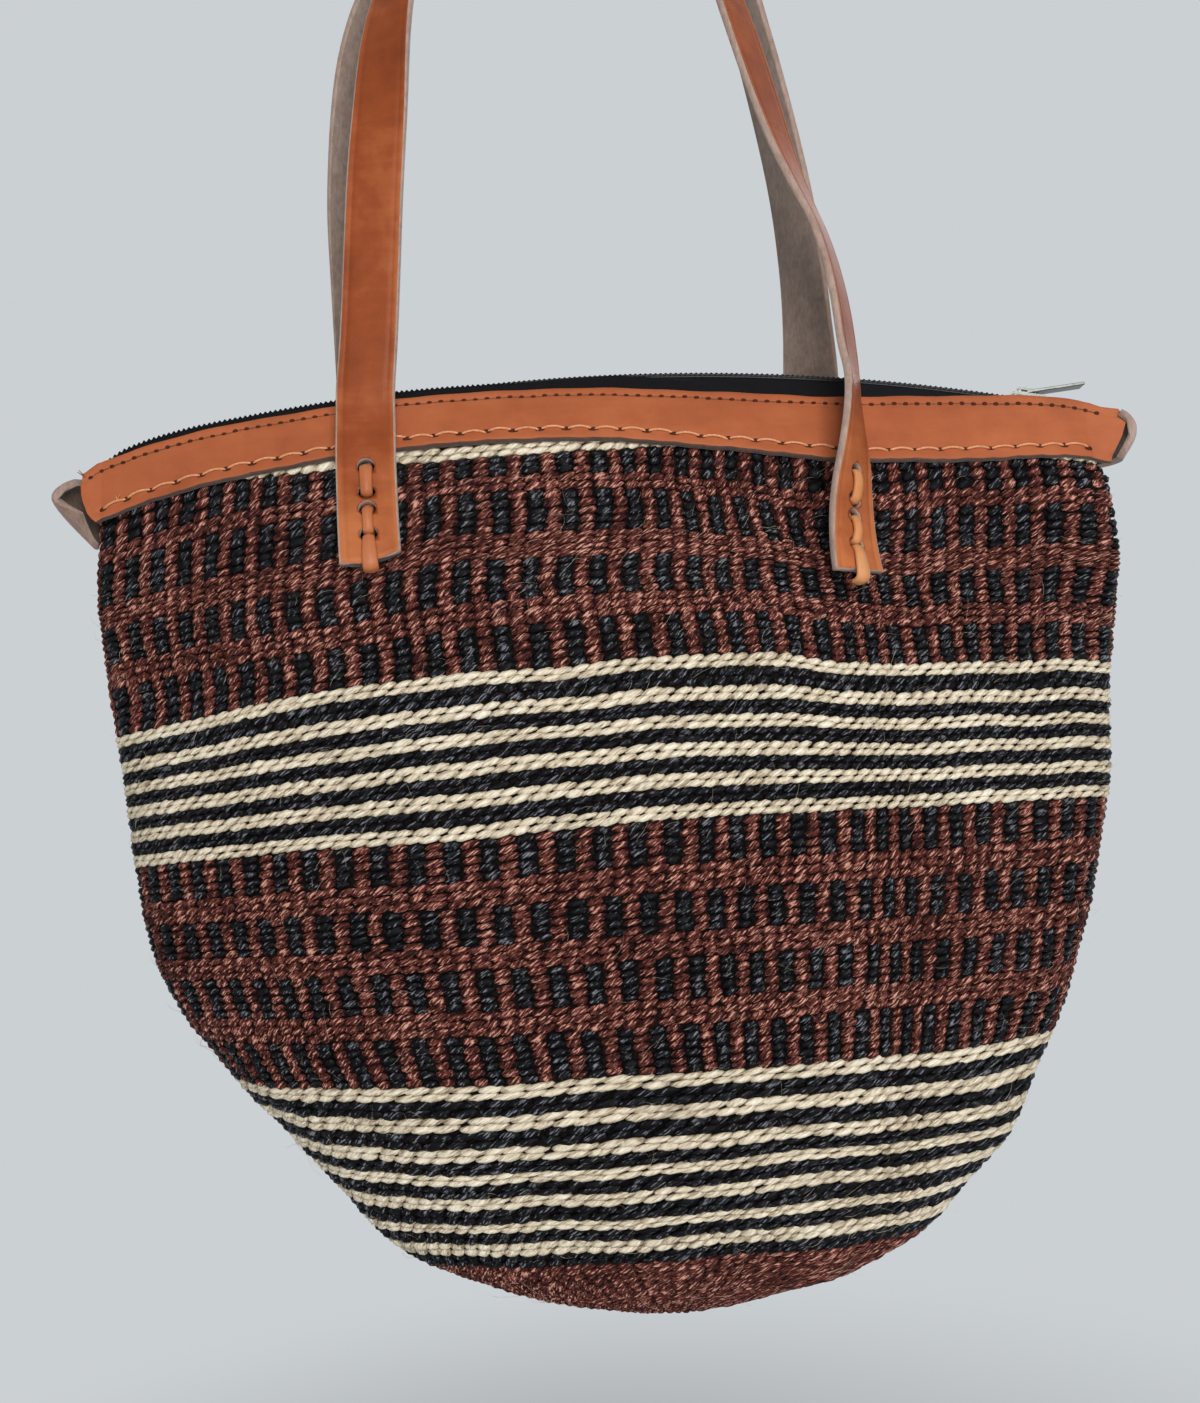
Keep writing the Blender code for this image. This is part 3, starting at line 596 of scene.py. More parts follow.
def bent_grid(name: str, columns: int, rows: int, place: Place, looks: Sequence[Paint],
              look_at: Callable[[float, float], int] | None = None, capped: bool = True) -> bpy.types.Object:
    """Bend a flat grid round into a closed piece.

    Args:
        name: The piece's name.
        columns: Faces round its section.
        rows: Faces along it.
        place: Takes shares round and along, and gives points.
        looks: Its paints.
        look_at: Gives a face's material number from its shares.
        capped: Whether its ends are closed.

    Returns:
        The piece.
    """
    bm = bmesh.new()
    bm.loops.layers.uv.new("UVMap")
    bmesh.ops.create_grid(bm, x_segments=columns, y_segments=rows, size=1.0, calc_uvs=True)
    if look_at:
        for face in bm.faces:
            middle = face.calc_center_median()
            face.material_index = look_at((middle.x + 1) / 2, (middle.y + 1) / 2)
    flat = np.array([v.co[:2] for v in bm.verts])
    points = place((flat[:, 0] + 1) / 2, (flat[:, 1] + 1) / 2)
    for vert, point in zip(bm.verts, points):
        vert.co = point
    bmesh.ops.remove_doubles(bm, verts=bm.verts, dist=WELD)
    if capped:
        caps = bmesh.ops.holes_fill(bm, edges=[e for e in bm.edges if e.is_boundary], sides=0)["faces"]
        for cap in caps:
            cap.material_index = min(1, len(looks) - 1)
    bmesh.ops.recalc_face_normals(bm, faces=bm.faces)
    return finished(name, bm, looks)


def swept(name: str, section: Section, places: Array, across: Array, face: Array,
          looks: Sequence[Paint], ends: Callable[[Array, Array], Array] | None = None) -> bpy.types.Object:
    """Run a section along a line of stations.

    Args:
        name: The piece's name.
        section: Its outline.
        places: The middle of each station.
        across: The direction across the strip there.
        face: The direction its good side faces there.
        looks: Its paints.
        ends: How far the strip's cut ends reach further along, from stations and places across.

    Returns:
        The piece.
    """
    way = unit(np.gradient(places, axis=0))
    around = len(section.across) - 1
    stations = len(places) - 1

    def place(u: Array, v: Array) -> Array:
        """Point of the strip at shares round and along."""
        i = np.rint(u * around).astype(int)
        k = np.rint(v * stations).astype(int)
        at = places[k] + across[k] * section.across[i][:, None] + face[k] * section.height[i][:, None]
        if ends is None:
            return at
        return at + way[k] * ends(k, section.across[i])[:, None]

    def look_at(u: float, _: float) -> int:
        """Material number round the strip."""
        return int(section.look[min(int(u * around), around - 1)])

    return bent_grid(name, around, stations, place, looks, look_at)


def tube(name: str, places: Array, radius: float | Array, looks: Sequence[Paint], sides: int = 6) -> bpy.types.Object:
    """A round strand along a line of points."""
    run = unit(np.gradient(places, axis=0))
    first = unit(np.cross(run, np.array((0.12, 1.0, 0.05))))
    second = np.cross(run, first)
    count = len(places) - 1
    size = np.broadcast_to(radius, (count + 1,))

    def place(u: Array, v: Array) -> Array:
        """Point of the strand at shares round and along."""
        k = np.rint(v * count).astype(int)
        turn = 2 * np.pi * u
        ring = first[k] * np.cos(turn)[:, None] + second[k] * np.sin(turn)[:, None]
        return places[k] + ring * size[k][:, None]

    return bent_grid(name, sides, count, place, looks)


def joined(name: str, parts: Sequence[bpy.types.Object]) -> bpy.types.Object:
    """Put several meshes with the same paints into one piece."""
    bm = bmesh.new()
    for part in parts:
        bm.from_mesh(part.data)
    looks = list(parts[0].data.materials)
    for part in parts:
        mesh = part.data
        bpy.data.objects.remove(part)
        bpy.data.meshes.remove(mesh)
    made = finished(name, bm, ())
    for look in looks:
        made.data.materials.append(look)
    return made


def settled(piece: bpy.types.Object, body: str, slot: str, *nodes: str) -> bpy.types.Object:
    """Ride a piece on its body and hide the solids it stands for."""
    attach(piece, body)
    if nodes:
        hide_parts(*nodes)
    count = sum(len(p.vertices) - 2 for p in piece.data.polygons)
    log.info("%s rides on %s, %d triangles", piece.name, body, count)
    return piece


# ---------------------------------------------------------------- the basket's form


@dataclass(frozen=True)
class BasketForm:
    """The outside of the weave, level by level, as the solid has it."""

    rim_drop: float = 0.219
    height: float = 0.342
    half_width: float = 0.188
    half_depth: float = 0.059
    base_shift: float = 0.015
    arch_radius: float = 1.100
    bluntness: float = 0.25
    end_share: float = 0.985
    levels: tuple = (-0.03, 0.0, 0.067, 0.149, 0.237, 0.354, 0.471, 0.588, 0.699, 0.787, 0.851, 0.909,
                     0.953, 0.982, 1.0)
    drops: tuple = (-0.03, 0.0, 0.067, 0.149, 0.237, 0.354, 0.471, 0.588, 0.699, 0.787, 0.851, 0.9035,
                    0.939, 0.960, 0.9735)
    widths: tuple = (0.982, 0.984, 0.992, 1.0, 0.988, 0.961, 0.934, 0.880, 0.788, 0.682, 0.578, 0.468,
                     0.335, 0.205, 0.100)
    depths: tuple = (0.085, 0.175, 0.381, 0.576, 0.746, 0.898, 0.983, 1.0, 0.949, 0.847, 0.729, 0.576,
                     0.424, 0.271, 0.153)
    pinches: tuple = (2.0, 2.0, 1.9, 1.75, 1.6, 1.4, 1.25, 1.15, 1.05, 1.0, 1.0, 1.0, 1.0, 1.0, 1.0)
    folds: tuple = (0.11, 0.11, 0.119, 0.153, 0.203, 0.271, 0.339, 0.373, 0.373, 0.339, 0.292, 0.23, 0.17,
                    0.108, 0.061)
    arches: tuple = (1.0, 1.0, 1.0, 0.97, 0.85, 0.6, 0.35, 0.15, 0.03, 0.0, 0.0, 0.0, 0.0, 0.0, 0.0)
    shifts: tuple = (0.0, 0.0, 0.03, 0.06, 0.11, 0.13, 0.07, 0.08, 0.27, 0.58, 0.73, 0.79, 0.80, 0.80, 0.80)

    def height_on(self, level: Array | float, x: Array | float) -> Array:
        """Height of a level line over x."""
        arch = through(self.levels, self.arches, level)
        drop = through(self.levels, self.drops, level)
        return -self.rim_drop - self.height * drop - arch * np.asarray(x) ** 2 / (2 * self.arch_radius)

    def level_at(self, x: Array, z: Array) -> Array:
        """The level that passes through a place."""
        low = np.full(np.shape(z), self.levels[0])
        high = np.full(np.shape(z), 1.0)
        for _ in range(26):
            middle = (low + high) / 2
            above = self.height_on(middle, x) > z
            low = np.where(above, middle, low)
            high = np.where(above, high, middle)
        return (low + high) / 2

    def bulge(self, cosine: Array, level: Array | float) -> Array:
        """Depth of the outside at a share of the way round."""
        depth = self.half_depth * through(self.levels, self.depths, level)
        fold = np.minimum(self.half_depth * through(self.levels, self.folds, level), depth)
        pinch = through(self.levels, self.pinches, level)
        return (depth - fold) * cosine ** pinch + fold * cosine ** self.bluntness

    def depth_on(self, x: Array, z: Array) -> Array:
        """Distance from the middle plane to the outside of the weave at a place on the front."""
        level = self.level_at(x, z)
        width = self.half_width * through(self.levels, self.widths, level)
        shift = self.base_shift * through(self.levels, self.shifts, level)
        share = np.minimum(np.abs(x - shift) / width, self.end_share)
        return self.bulge(np.sqrt(1 - share * share), level)

    def ring(self, level: float, turn: Array) -> Array:
        """Points round the outside at a level, from turns about the upright axis."""
        cosine = np.cos(turn)
        cosine[np.abs(cosine) < 1e-12] = 0.0
        width = self.half_width * through(self.levels, self.widths, level)
        x = self.base_shift * through(self.levels, self.shifts, level) + width * np.sin(turn)
        y = -np.sign(cosine) * self.bulge(np.abs(cosine), level)
        return np.stack((x, y, self.height_on(level, x)), axis=-1)


ROUND_TOP = 140


class WeaveSurface:
    """The basket's outside as a fine lattice of levels and shares round, starting at the left end."""

    TOP = 0.035
    DOWN = 250
    UNDER = 24
    UNDER_SPAN = 0.1
    AROUND = 800
    CROWD_SHARES = (-1.0, -0.83, -0.68, -0.55, -0.35, -0.08, 0.04, 0.18, 0.32, 0.46, 0.62, 0.78, 0.94, 1.0)
    CROWDING = (0.97, 1.05, 1.06, 0.90, 0.90, 0.90, 1.03, 1.19, 1.13, 1.06, 1.09, 0.99, 0.86, 0.85)
    MEASURED_AT = 0.142
    OWN_FROM_TO = (0.30, 0.85)
    ASTRAY_X = (-0.19, -0.175, -0.105, -0.05, 0.0, 0.045, 0.10, 0.15, 0.18, 0.19)
    ASTRAY_LEVELS = (0.089, 0.142, 0.217, 0.284, 0.36)
    ASTRAY = (
        (0.0, 0.25, 0.45, 0.20, 0.0, 0.70, 0.20, 0.40, 0.20, 0.0),
        (0.0, 0.25, 0.45, 0.38, 0.20, 0.15, -0.10, -0.12, -0.05, 0.0),
        (0.0, 0.35, 0.0, -0.25, -0.60, -1.0, -0.95, -0.85, -0.90, -0.90),
        (0.0, 0.60, 0.60, 0.0, -0.15, -0.30, -0.40, -0.90, -0.95, -1.0),
        (0.0, 0.0, 0.0, 0.0, 0.0, 0.0, 0.0, -0.3, -0.4, -0.5))
    DENT_FROM = (-0.144, -0.452)
    DENT_TO = (-0.102, -0.503)
    DENT_DEPTH = 0.0042
    DENT_WIDTH = 0.0085
    UNEVEN = 0.0009
    SHOULDER = 0.0036

    def __init__(self, form: BasketForm) -> None:
        """Sample the form, round its corners, and work out which way it faces."""
        self.form = form
        side = np.linspace(0.0, 1.0, 260)
        quarter = np.unique(np.concatenate((np.arccos(side ** 4), np.linspace(0, math.pi / 2, 400))))
        turn = np.concatenate((-quarter[::-1], quarter[1:], math.pi - quarter[::-1][1:], math.pi + quarter[1:]))
        front = np.cos(turn[:-1] + np.diff(turn) / 2) > 0
        crowd = np.where(front, through(self.CROWD_SHARES, self.CROWDING, np.sin(turn[:-1])), 1.0)
        down = np.linspace(self.TOP, 1.0, self.DOWN)
        under = 1.0 + self.UNDER_SPAN * np.linspace(0.0, 1.0, self.UNDER + 1)[1:]
        self.levels = np.concatenate((down, under))
        shares = np.arange(self.AROUND) / self.AROUND
        rings = []
        upper = self.gone_round(form.ring(self.MEASURED_AT, turn.copy()), crowd)
        for level in down:
            ring = form.ring(level, turn.copy())
            own = float(np.interp(level, self.OWN_FROM_TO, (0.0, 1.0)))
            gone = upper * (1 - own) + self.gone_round(ring, crowd) * own
            astray = np.array([np.interp(level, self.ASTRAY_LEVELS, column) for column in zip(*self.ASTRAY)])
            spot = np.interp(shares, gone, ring[:, 0])
            behind = np.where(shares < 0.5, 1.0, np.interp(np.abs(spot), (0.12, 0.19), (0.0, 1.0)))
            moved = shares + through(self.ASTRAY_X, astray, spot) * behind / ROUND_TOP
            rings.append(np.stack([np.interp(moved, gone, ring[:, k]) for k in range(3)], axis=-1))
        last = rings[-1]
        centre = last.mean(axis=0)
        for level in under:
            rings.append(centre + (last - centre) * (1.0 - 0.97 * (level - 1.0) / self.UNDER_SPAN))
        self.points = np.array(rings)
        for _ in range(1):
            near = np.roll(self.points, 1, axis=1) + np.roll(self.points, -1, axis=1)
            self.points = self.points * 0.5 + near * 0.25
        self.normals = self.facing()
        self.points += self.normals * self.relief()[..., None]
        self.normals = self.facing()

    def gone_round(self, ring: Array, crowd: Array) -> Array:
        """Share of the way round at each point of a ring, with the stitches crowded as given."""
        steps = np.linalg.norm(np.diff(ring, axis=0), axis=1) * crowd
        gone = np.concatenate(((0.0,), np.cumsum(steps)))
        return gone / gone[-1]

    def facing(self) -> Array:
        """Outward normals of the lattice."""
        around = np.roll(self.points, -1, axis=1) - np.roll(self.points, 1, axis=1)
        down = np.gradient(self.points, axis=0)
        normals = unit(np.cross(around, -down))
        out = self.points - self.points.mean(axis=1, keepdims=True)
        if np.mean(np.sum(normals[:200] * out[:200], axis=-1)) < 0:
            normals = -normals
        return normals

    def relief(self) -> Array:
        """How far the weave stands off its plain form: an uneven pull, and the dent low on the left."""
        x, y, z = np.moveaxis(self.points, -1, 0)
        rolls = np.sin(x * 61.0 + z * 23.0) * np.sin(z * 74.0 - x * 19.0 + 1.3) + 0.5 * np.sin(x * 130.0 + z * 95.0)
        fade = np.clip((self.levels - 0.16) / 0.1, 0.0, 1.0) * np.clip((1.0 - self.levels) / 0.08, 0.0, 1.0)
        start = np.array(self.DENT_FROM)
        run = np.array(self.DENT_TO) - start
        flat = np.stack((x, z), axis=-1) - start
        along = np.clip(flat @ run / (run @ run), 0.0, 1.0)
        away = np.linalg.norm(flat - along[..., None] * run, axis=-1)
        dent = np.exp(-(away / self.DENT_WIDTH) ** 2) * (y < 0) * (1 - 0.6 * np.abs(along - 0.5) * 2)
        shoulder = np.clip((x - 0.160) / 0.022, 0.0, 1.0) * np.interp(
            self.levels, (0.055, 0.078, 0.17, 0.25), (0.0, 1.0, 1.0, 0.0))[:, None]
        return fade[:, None] * (self.UNEVEN * rolls - self.DENT_DEPTH * dent) + self.SHOULDER * shoulder

    def at(self, level: Array, share: Array) -> tuple[Array, Array]:
        """Look up places on the weave.

        Args:
            level: Levels, more than 1 under the base.
            share: Shares of the way round.

        Returns:
            Points and outward directions.
        """
        k = np.clip(np.searchsorted(self.levels, level) - 1, 0, len(self.levels) - 2)
        t = np.clip((level - self.levels[k]) / (self.levels[k + 1] - self.levels[k]), -1.0, 1.0)[..., None]
        place = np.mod(share, 1.0) * self.AROUND
        i = np.floor(place).astype(int)
        s = (place - i)[..., None]
        i = i % self.AROUND
        j = (i + 1) % self.AROUND
        found = []
        for table in (self.points, self.normals):
            upper = table[k, i] * (1 - s) + table[k, j] * s
            lower = table[k + 1, i] * (1 - s) + table[k + 1, j] * s
            found.append(upper * (1 - t) + lower * t)
        return found[0], unit(found[1])


@dataclass(frozen=True)
class LeatherLine:
    """Where the band of leather runs round the rim."""

    reach: float = 0.1846
    thickness: float = 0.0022
    clearance: float = 0.0003
    end_shares: tuple = (0.0, 0.12, 0.3, 0.6, 0.8, 1.0)
    left_ends: tuple = (-0.1850, -0.1868, -0.1888, -0.1906, -0.1908, -0.1898)
    right_ends: tuple = (0.1906, 0.1912, 0.1932, 0.1966, 0.1976, 0.1950)
    fall: float = 0.0177
    top: float = 0.2188
    fall_stations: tuple = (-1.005, -0.984, -0.867, -0.713, -0.511, -0.378, -0.112, 0.043, 0.319, 0.495,
                            0.691, 0.904, 1.005)
    falls: tuple = (1.0, 0.944, 0.605, 0.322, 0.096, 0.0, 0.0, 0.085, 0.384, 0.54, 0.575, 0.650, 0.845)
    tall: float = 0.0263
    tall_stations: tuple = (-1.005, -0.713, -0.388, 0.0, 0.234, 0.457, 0.761, 1.005)
    talls: tuple = (0.856, 0.856, 0.837, 0.856, 0.92, 1.0, 0.989, 0.817)
    ear_length: float = 0.0160
    ear_half: float = 0.0078
    ear_drop: float = 0.0015

    def edge(self, x: Array, form: BasketForm) -> Array:
        """Height of the top edge."""
        return -self.top - self.fall * through(self.fall_stations, self.falls, np.asarray(x) / form.half_width)

    def height(self, x: Array, form: BasketForm) -> Array:
        """Height of the leather from edge to edge."""
        return self.tall * through(self.tall_stations, self.talls, np.asarray(x) / form.half_width)


FORM = BasketForm()
LEATHER = LeatherLine()


# ---------------------------------------------------------------- weave


class Yarn(Enum):
    """The three dyes."""

    BROWN = "brown"
    BLACK = "black"
    CREAM = "cream"


class Pattern(Enum):
    """What a group of rows shows."""

    BROWN = "brown"
    BLACK = "black"
    CREAM = "cream"
    BLOCKS = "blocks"


@dataclass(frozen=True)
class Habit:
    """How the stitches of a pattern lie: shares of the pitch, of the row and of the slant."""

    long: float
    wide: float
    slant: float


HABITS = {Pattern.BROWN: Habit(1.28, 1.14, 0.42), Pattern.BLOCKS: Habit(1.12, 1.12, 0.28),
          Pattern.BLACK: Habit(1.26, 1.12, 0.50), Pattern.CREAM: Habit(1.34, 1.18, 0.48)}


@dataclass(frozen=True)
class Rows:
    """A group of twined rows between two levels."""

    top: float
    bottom: float
    count: int
    stitches: int
    pattern: Pattern
    drift: float = 0.0


ROUND_MIDDLE = 136
ROUND_LOW = 90
WEAVE_ROWS = (
    Rows(0.0370, 0.0560, 2, ROUND_TOP, Pattern.BROWN),
    Rows(0.0560, 0.0745, 2, ROUND_TOP, Pattern.CREAM),
    Rows(0.0745, 0.1030, 3, ROUND_TOP, Pattern.BLOCKS),
    Rows(0.1030, 0.1190, 2, ROUND_TOP, Pattern.BROWN),
    Rows(0.1190, 0.1655, 5, ROUND_TOP, Pattern.BLOCKS),
    Rows(0.1655, 0.1955, 4, ROUND_TOP, Pattern.BROWN),
    Rows(0.1955, 0.2383, 5, ROUND_TOP, Pattern.BLOCKS),
    Rows(0.2383, 0.2630, 3, ROUND_TOP, Pattern.BROWN),
    Rows(0.2630, 0.3055, 5, ROUND_TOP, Pattern.BLOCKS),
    Rows(0.3055, 0.3190, 2, ROUND_TOP, Pattern.CREAM),
    Rows(0.3190, 0.3375, 2, ROUND_TOP, Pattern.BLACK),
    Rows(0.3375, 0.3520, 2, ROUND_TOP, Pattern.CREAM),
    Rows(0.3520, 0.3660, 2, ROUND_TOP, Pattern.BLACK),
    Rows(0.3660, 0.3790, 2, ROUND_TOP, Pattern.CREAM),
    Rows(0.3790, 0.3935, 2, ROUND_TOP, Pattern.BLACK),
    Rows(0.3935, 0.4080, 2, ROUND_TOP, Pattern.CREAM),
    Rows(0.4080, 0.4235, 2, ROUND_TOP, Pattern.BLACK),
    Rows(0.4235, 0.4380, 2, ROUND_TOP, Pattern.CREAM),
    Rows(0.4380, 0.4540, 2, ROUND_TOP, Pattern.BLACK),
    Rows(0.4540, 0.4680, 2, ROUND_TOP, Pattern.CREAM),
    Rows(0.4680, 0.5090, 5, ROUND_MIDDLE, Pattern.BLOCKS),
    Rows(0.5090, 0.5350, 3, ROUND_MIDDLE, Pattern.BROWN),
    Rows(0.5350, 0.5730, 5, ROUND_MIDDLE, Pattern.BLOCKS, 0.5),
    Rows(0.5730, 0.5965, 3, ROUND_MIDDLE, Pattern.BROWN),
    Rows(0.5965, 0.6361, 5, ROUND_MIDDLE, Pattern.BLOCKS, 1.1),
    Rows(0.6361, 0.6610, 3, ROUND_MIDDLE, Pattern.BROWN),
    Rows(0.6610, 0.7085, 6, ROUND_MIDDLE, Pattern.BLOCKS, 0.4),
    Rows(0.7085, 0.7220, 2, ROUND_LOW, Pattern.CREAM),
    Rows(0.7220, 0.7390, 2, ROUND_LOW, Pattern.BLACK),
    Rows(0.7390, 0.7540, 2, ROUND_LOW, Pattern.CREAM),
    Rows(0.7540, 0.7715, 2, ROUND_LOW, Pattern.BLACK),
    Rows(0.7715, 0.7855, 2, ROUND_LOW, Pattern.CREAM),
    Rows(0.7855, 0.7985, 2, ROUND_LOW, Pattern.BLACK),
    Rows(0.7985, 0.8095, 2, ROUND_LOW, Pattern.CREAM),
    Rows(0.8095, 0.8240, 2, ROUND_LOW, Pattern.BLACK),
    Rows(0.8240, 0.8370, 2, ROUND_LOW, Pattern.CREAM),
    Rows(0.8370, 0.8540, 2, ROUND_LOW, Pattern.BLACK),
    Rows(0.8540, 0.8650, 2, ROUND_LOW, Pattern.CREAM),
    Rows(0.8650, 0.8800, 2, ROUND_LOW, Pattern.BLACK),
    Rows(0.8800, 0.8965, 2, ROUND_LOW, Pattern.CREAM),
    Rows(0.8965, 0.9130, 2, ROUND_LOW, Pattern.BLACK),
    Rows(0.9130, 0.9600, 7, 76, Pattern.BROWN),
    Rows(0.9600, 0.9980, 9, 52, Pattern.BROWN),
    Rows(0.9980, 1.0500, 3, 30, Pattern.BROWN),
    Rows(1.0500, 1.0950, 3, 14, Pattern.BROWN),
)


@dataclass(frozen=True)
class Pull:
    """How far hand and wear have pulled the front's rows off their levels, and its columns askew."""

    x: tuple = (-0.19, -0.1425, -0.0945, -0.0527, -0.0186, 0.0151, 0.049, 0.0765, 0.101, 0.1375, 0.169, 0.19)
    levels: tuple = (0.062, 0.10, 0.142, 0.20, 0.25, 0.3055, 0.39, 0.468, 0.60, 0.72, 0.85, 0.92, 1.0)
    shifts: tuple = (
        (-0.026, -0.026, -0.013, 0.001, 0.002, 0.0, -0.006, -0.002, 0.006, -0.006, -0.013, -0.016),
        (-0.006, -0.0105, -0.006, -0.008, -0.005, 0.001, 0.0110, 0.0230, 0.0210, 0.0070, -0.007, -0.010),
        (0.001, -0.003, 0.001, -0.004, 0.001, 0.005, 0.017, 0.033, 0.0314, 0.015, -0.001, -0.004),
        (-0.006, -0.001, 0.002, -0.007, -0.002, -0.001, 0.007, 0.020, 0.021, 0.008, -0.008, -0.011),
        (-0.006, -0.001, 0.003, -0.002, -0.001, -0.004, -0.003, 0.0067, 0.0105, 0.0015, -0.0105, -0.013),
        (0.014, 0.0115, 0.0043, 0.0021, 0.0036, -0.0017, -0.0017, 0.007, 0.0085, 0.0004, -0.0101, -0.013),
        (0.010, 0.009, 0.0055, 0.0028, 0.0, -0.003, -0.002, 0.002, 0.003, -0.003, -0.010, -0.012),
        (0.004, 0.003, 0.002, 0.0046, 0.0, -0.004, -0.006, -0.007, -0.008, -0.012, -0.016, -0.017),
        (0.0, 0.0, 0.0, 0.0, -0.001, -0.002, -0.003, -0.004, -0.004, -0.006, -0.008, -0.008),
        (0.0, 0.0, -0.001, -0.001, -0.003, -0.005, -0.006, -0.006, -0.006, -0.007, -0.008, -0.008),
        (0.0, 0.0, -0.002, -0.003, -0.006, -0.0095, -0.011, -0.012, -0.012, -0.012, -0.012, -0.012),
        (0.0, 0.0, -0.004, -0.006, -0.010, -0.013, -0.014, -0.014, -0.014, -0.014, -0.014, -0.014),
        (0.0, 0.0, 0.0, 0.0, 0.0, 0.0, 0.0, 0.0, 0.0, 0.0, 0.0, 0.0))
    back_fade: float = 0.07
    lean_x: tuple = (-0.19, 0.005, 0.03, 0.055, 0.075, 0.098, 0.19)
    leans: tuple = (0.0, 0.0, 0.11, 0.17, 0.17, 0.0, 0.0)
    lean_level: float = 0.145
    lean_reach: float = 0.045

    def level(self, level: Array, x: Array, y: Array) -> Array:
        """Where a row really runs.

        Args:
            level: Levels at which rows were begun.
            x: Places along the front.
            y: Depths, less than 0 on the front.

        Returns:
            The levels they reach there.
        """
        table = np.array(self.shifts)
        at = np.interp(level, self.levels, np.arange(len(self.levels)))
        k = np.clip(np.floor(at).astype(int), 0, len(self.levels) - 2)
        t = at - k
        across = np.interp(x, self.x, np.arange(len(self.x)))
        i = np.clip(np.floor(across).astype(int), 0, len(self.x) - 2)
        r = across - i
        r = r * r * (3 - 2 * r)
        upper = table[k, i] * (1 - r) + table[k, i + 1] * r
        lower = table[k + 1, i] * (1 - r) + table[k + 1, i + 1] * r
        shift = upper * (1 - t) + lower * t
        fade = np.where(y < 0, 1.0, np.clip((np.abs(x) - self.x[-1] + self.back_fade) / self.back_fade, 0.0, 1.0))
        return level + shift * fade

    def share(self, level: Array, x: Array, y: Array) -> Array:
        """How far round the columns lean off the upright at a place."""
        down = np.clip(level - self.lean_level, -self.lean_reach, self.lean_reach)
        return down * np.interp(x, self.lean_x, self.leans) * (y < 0)


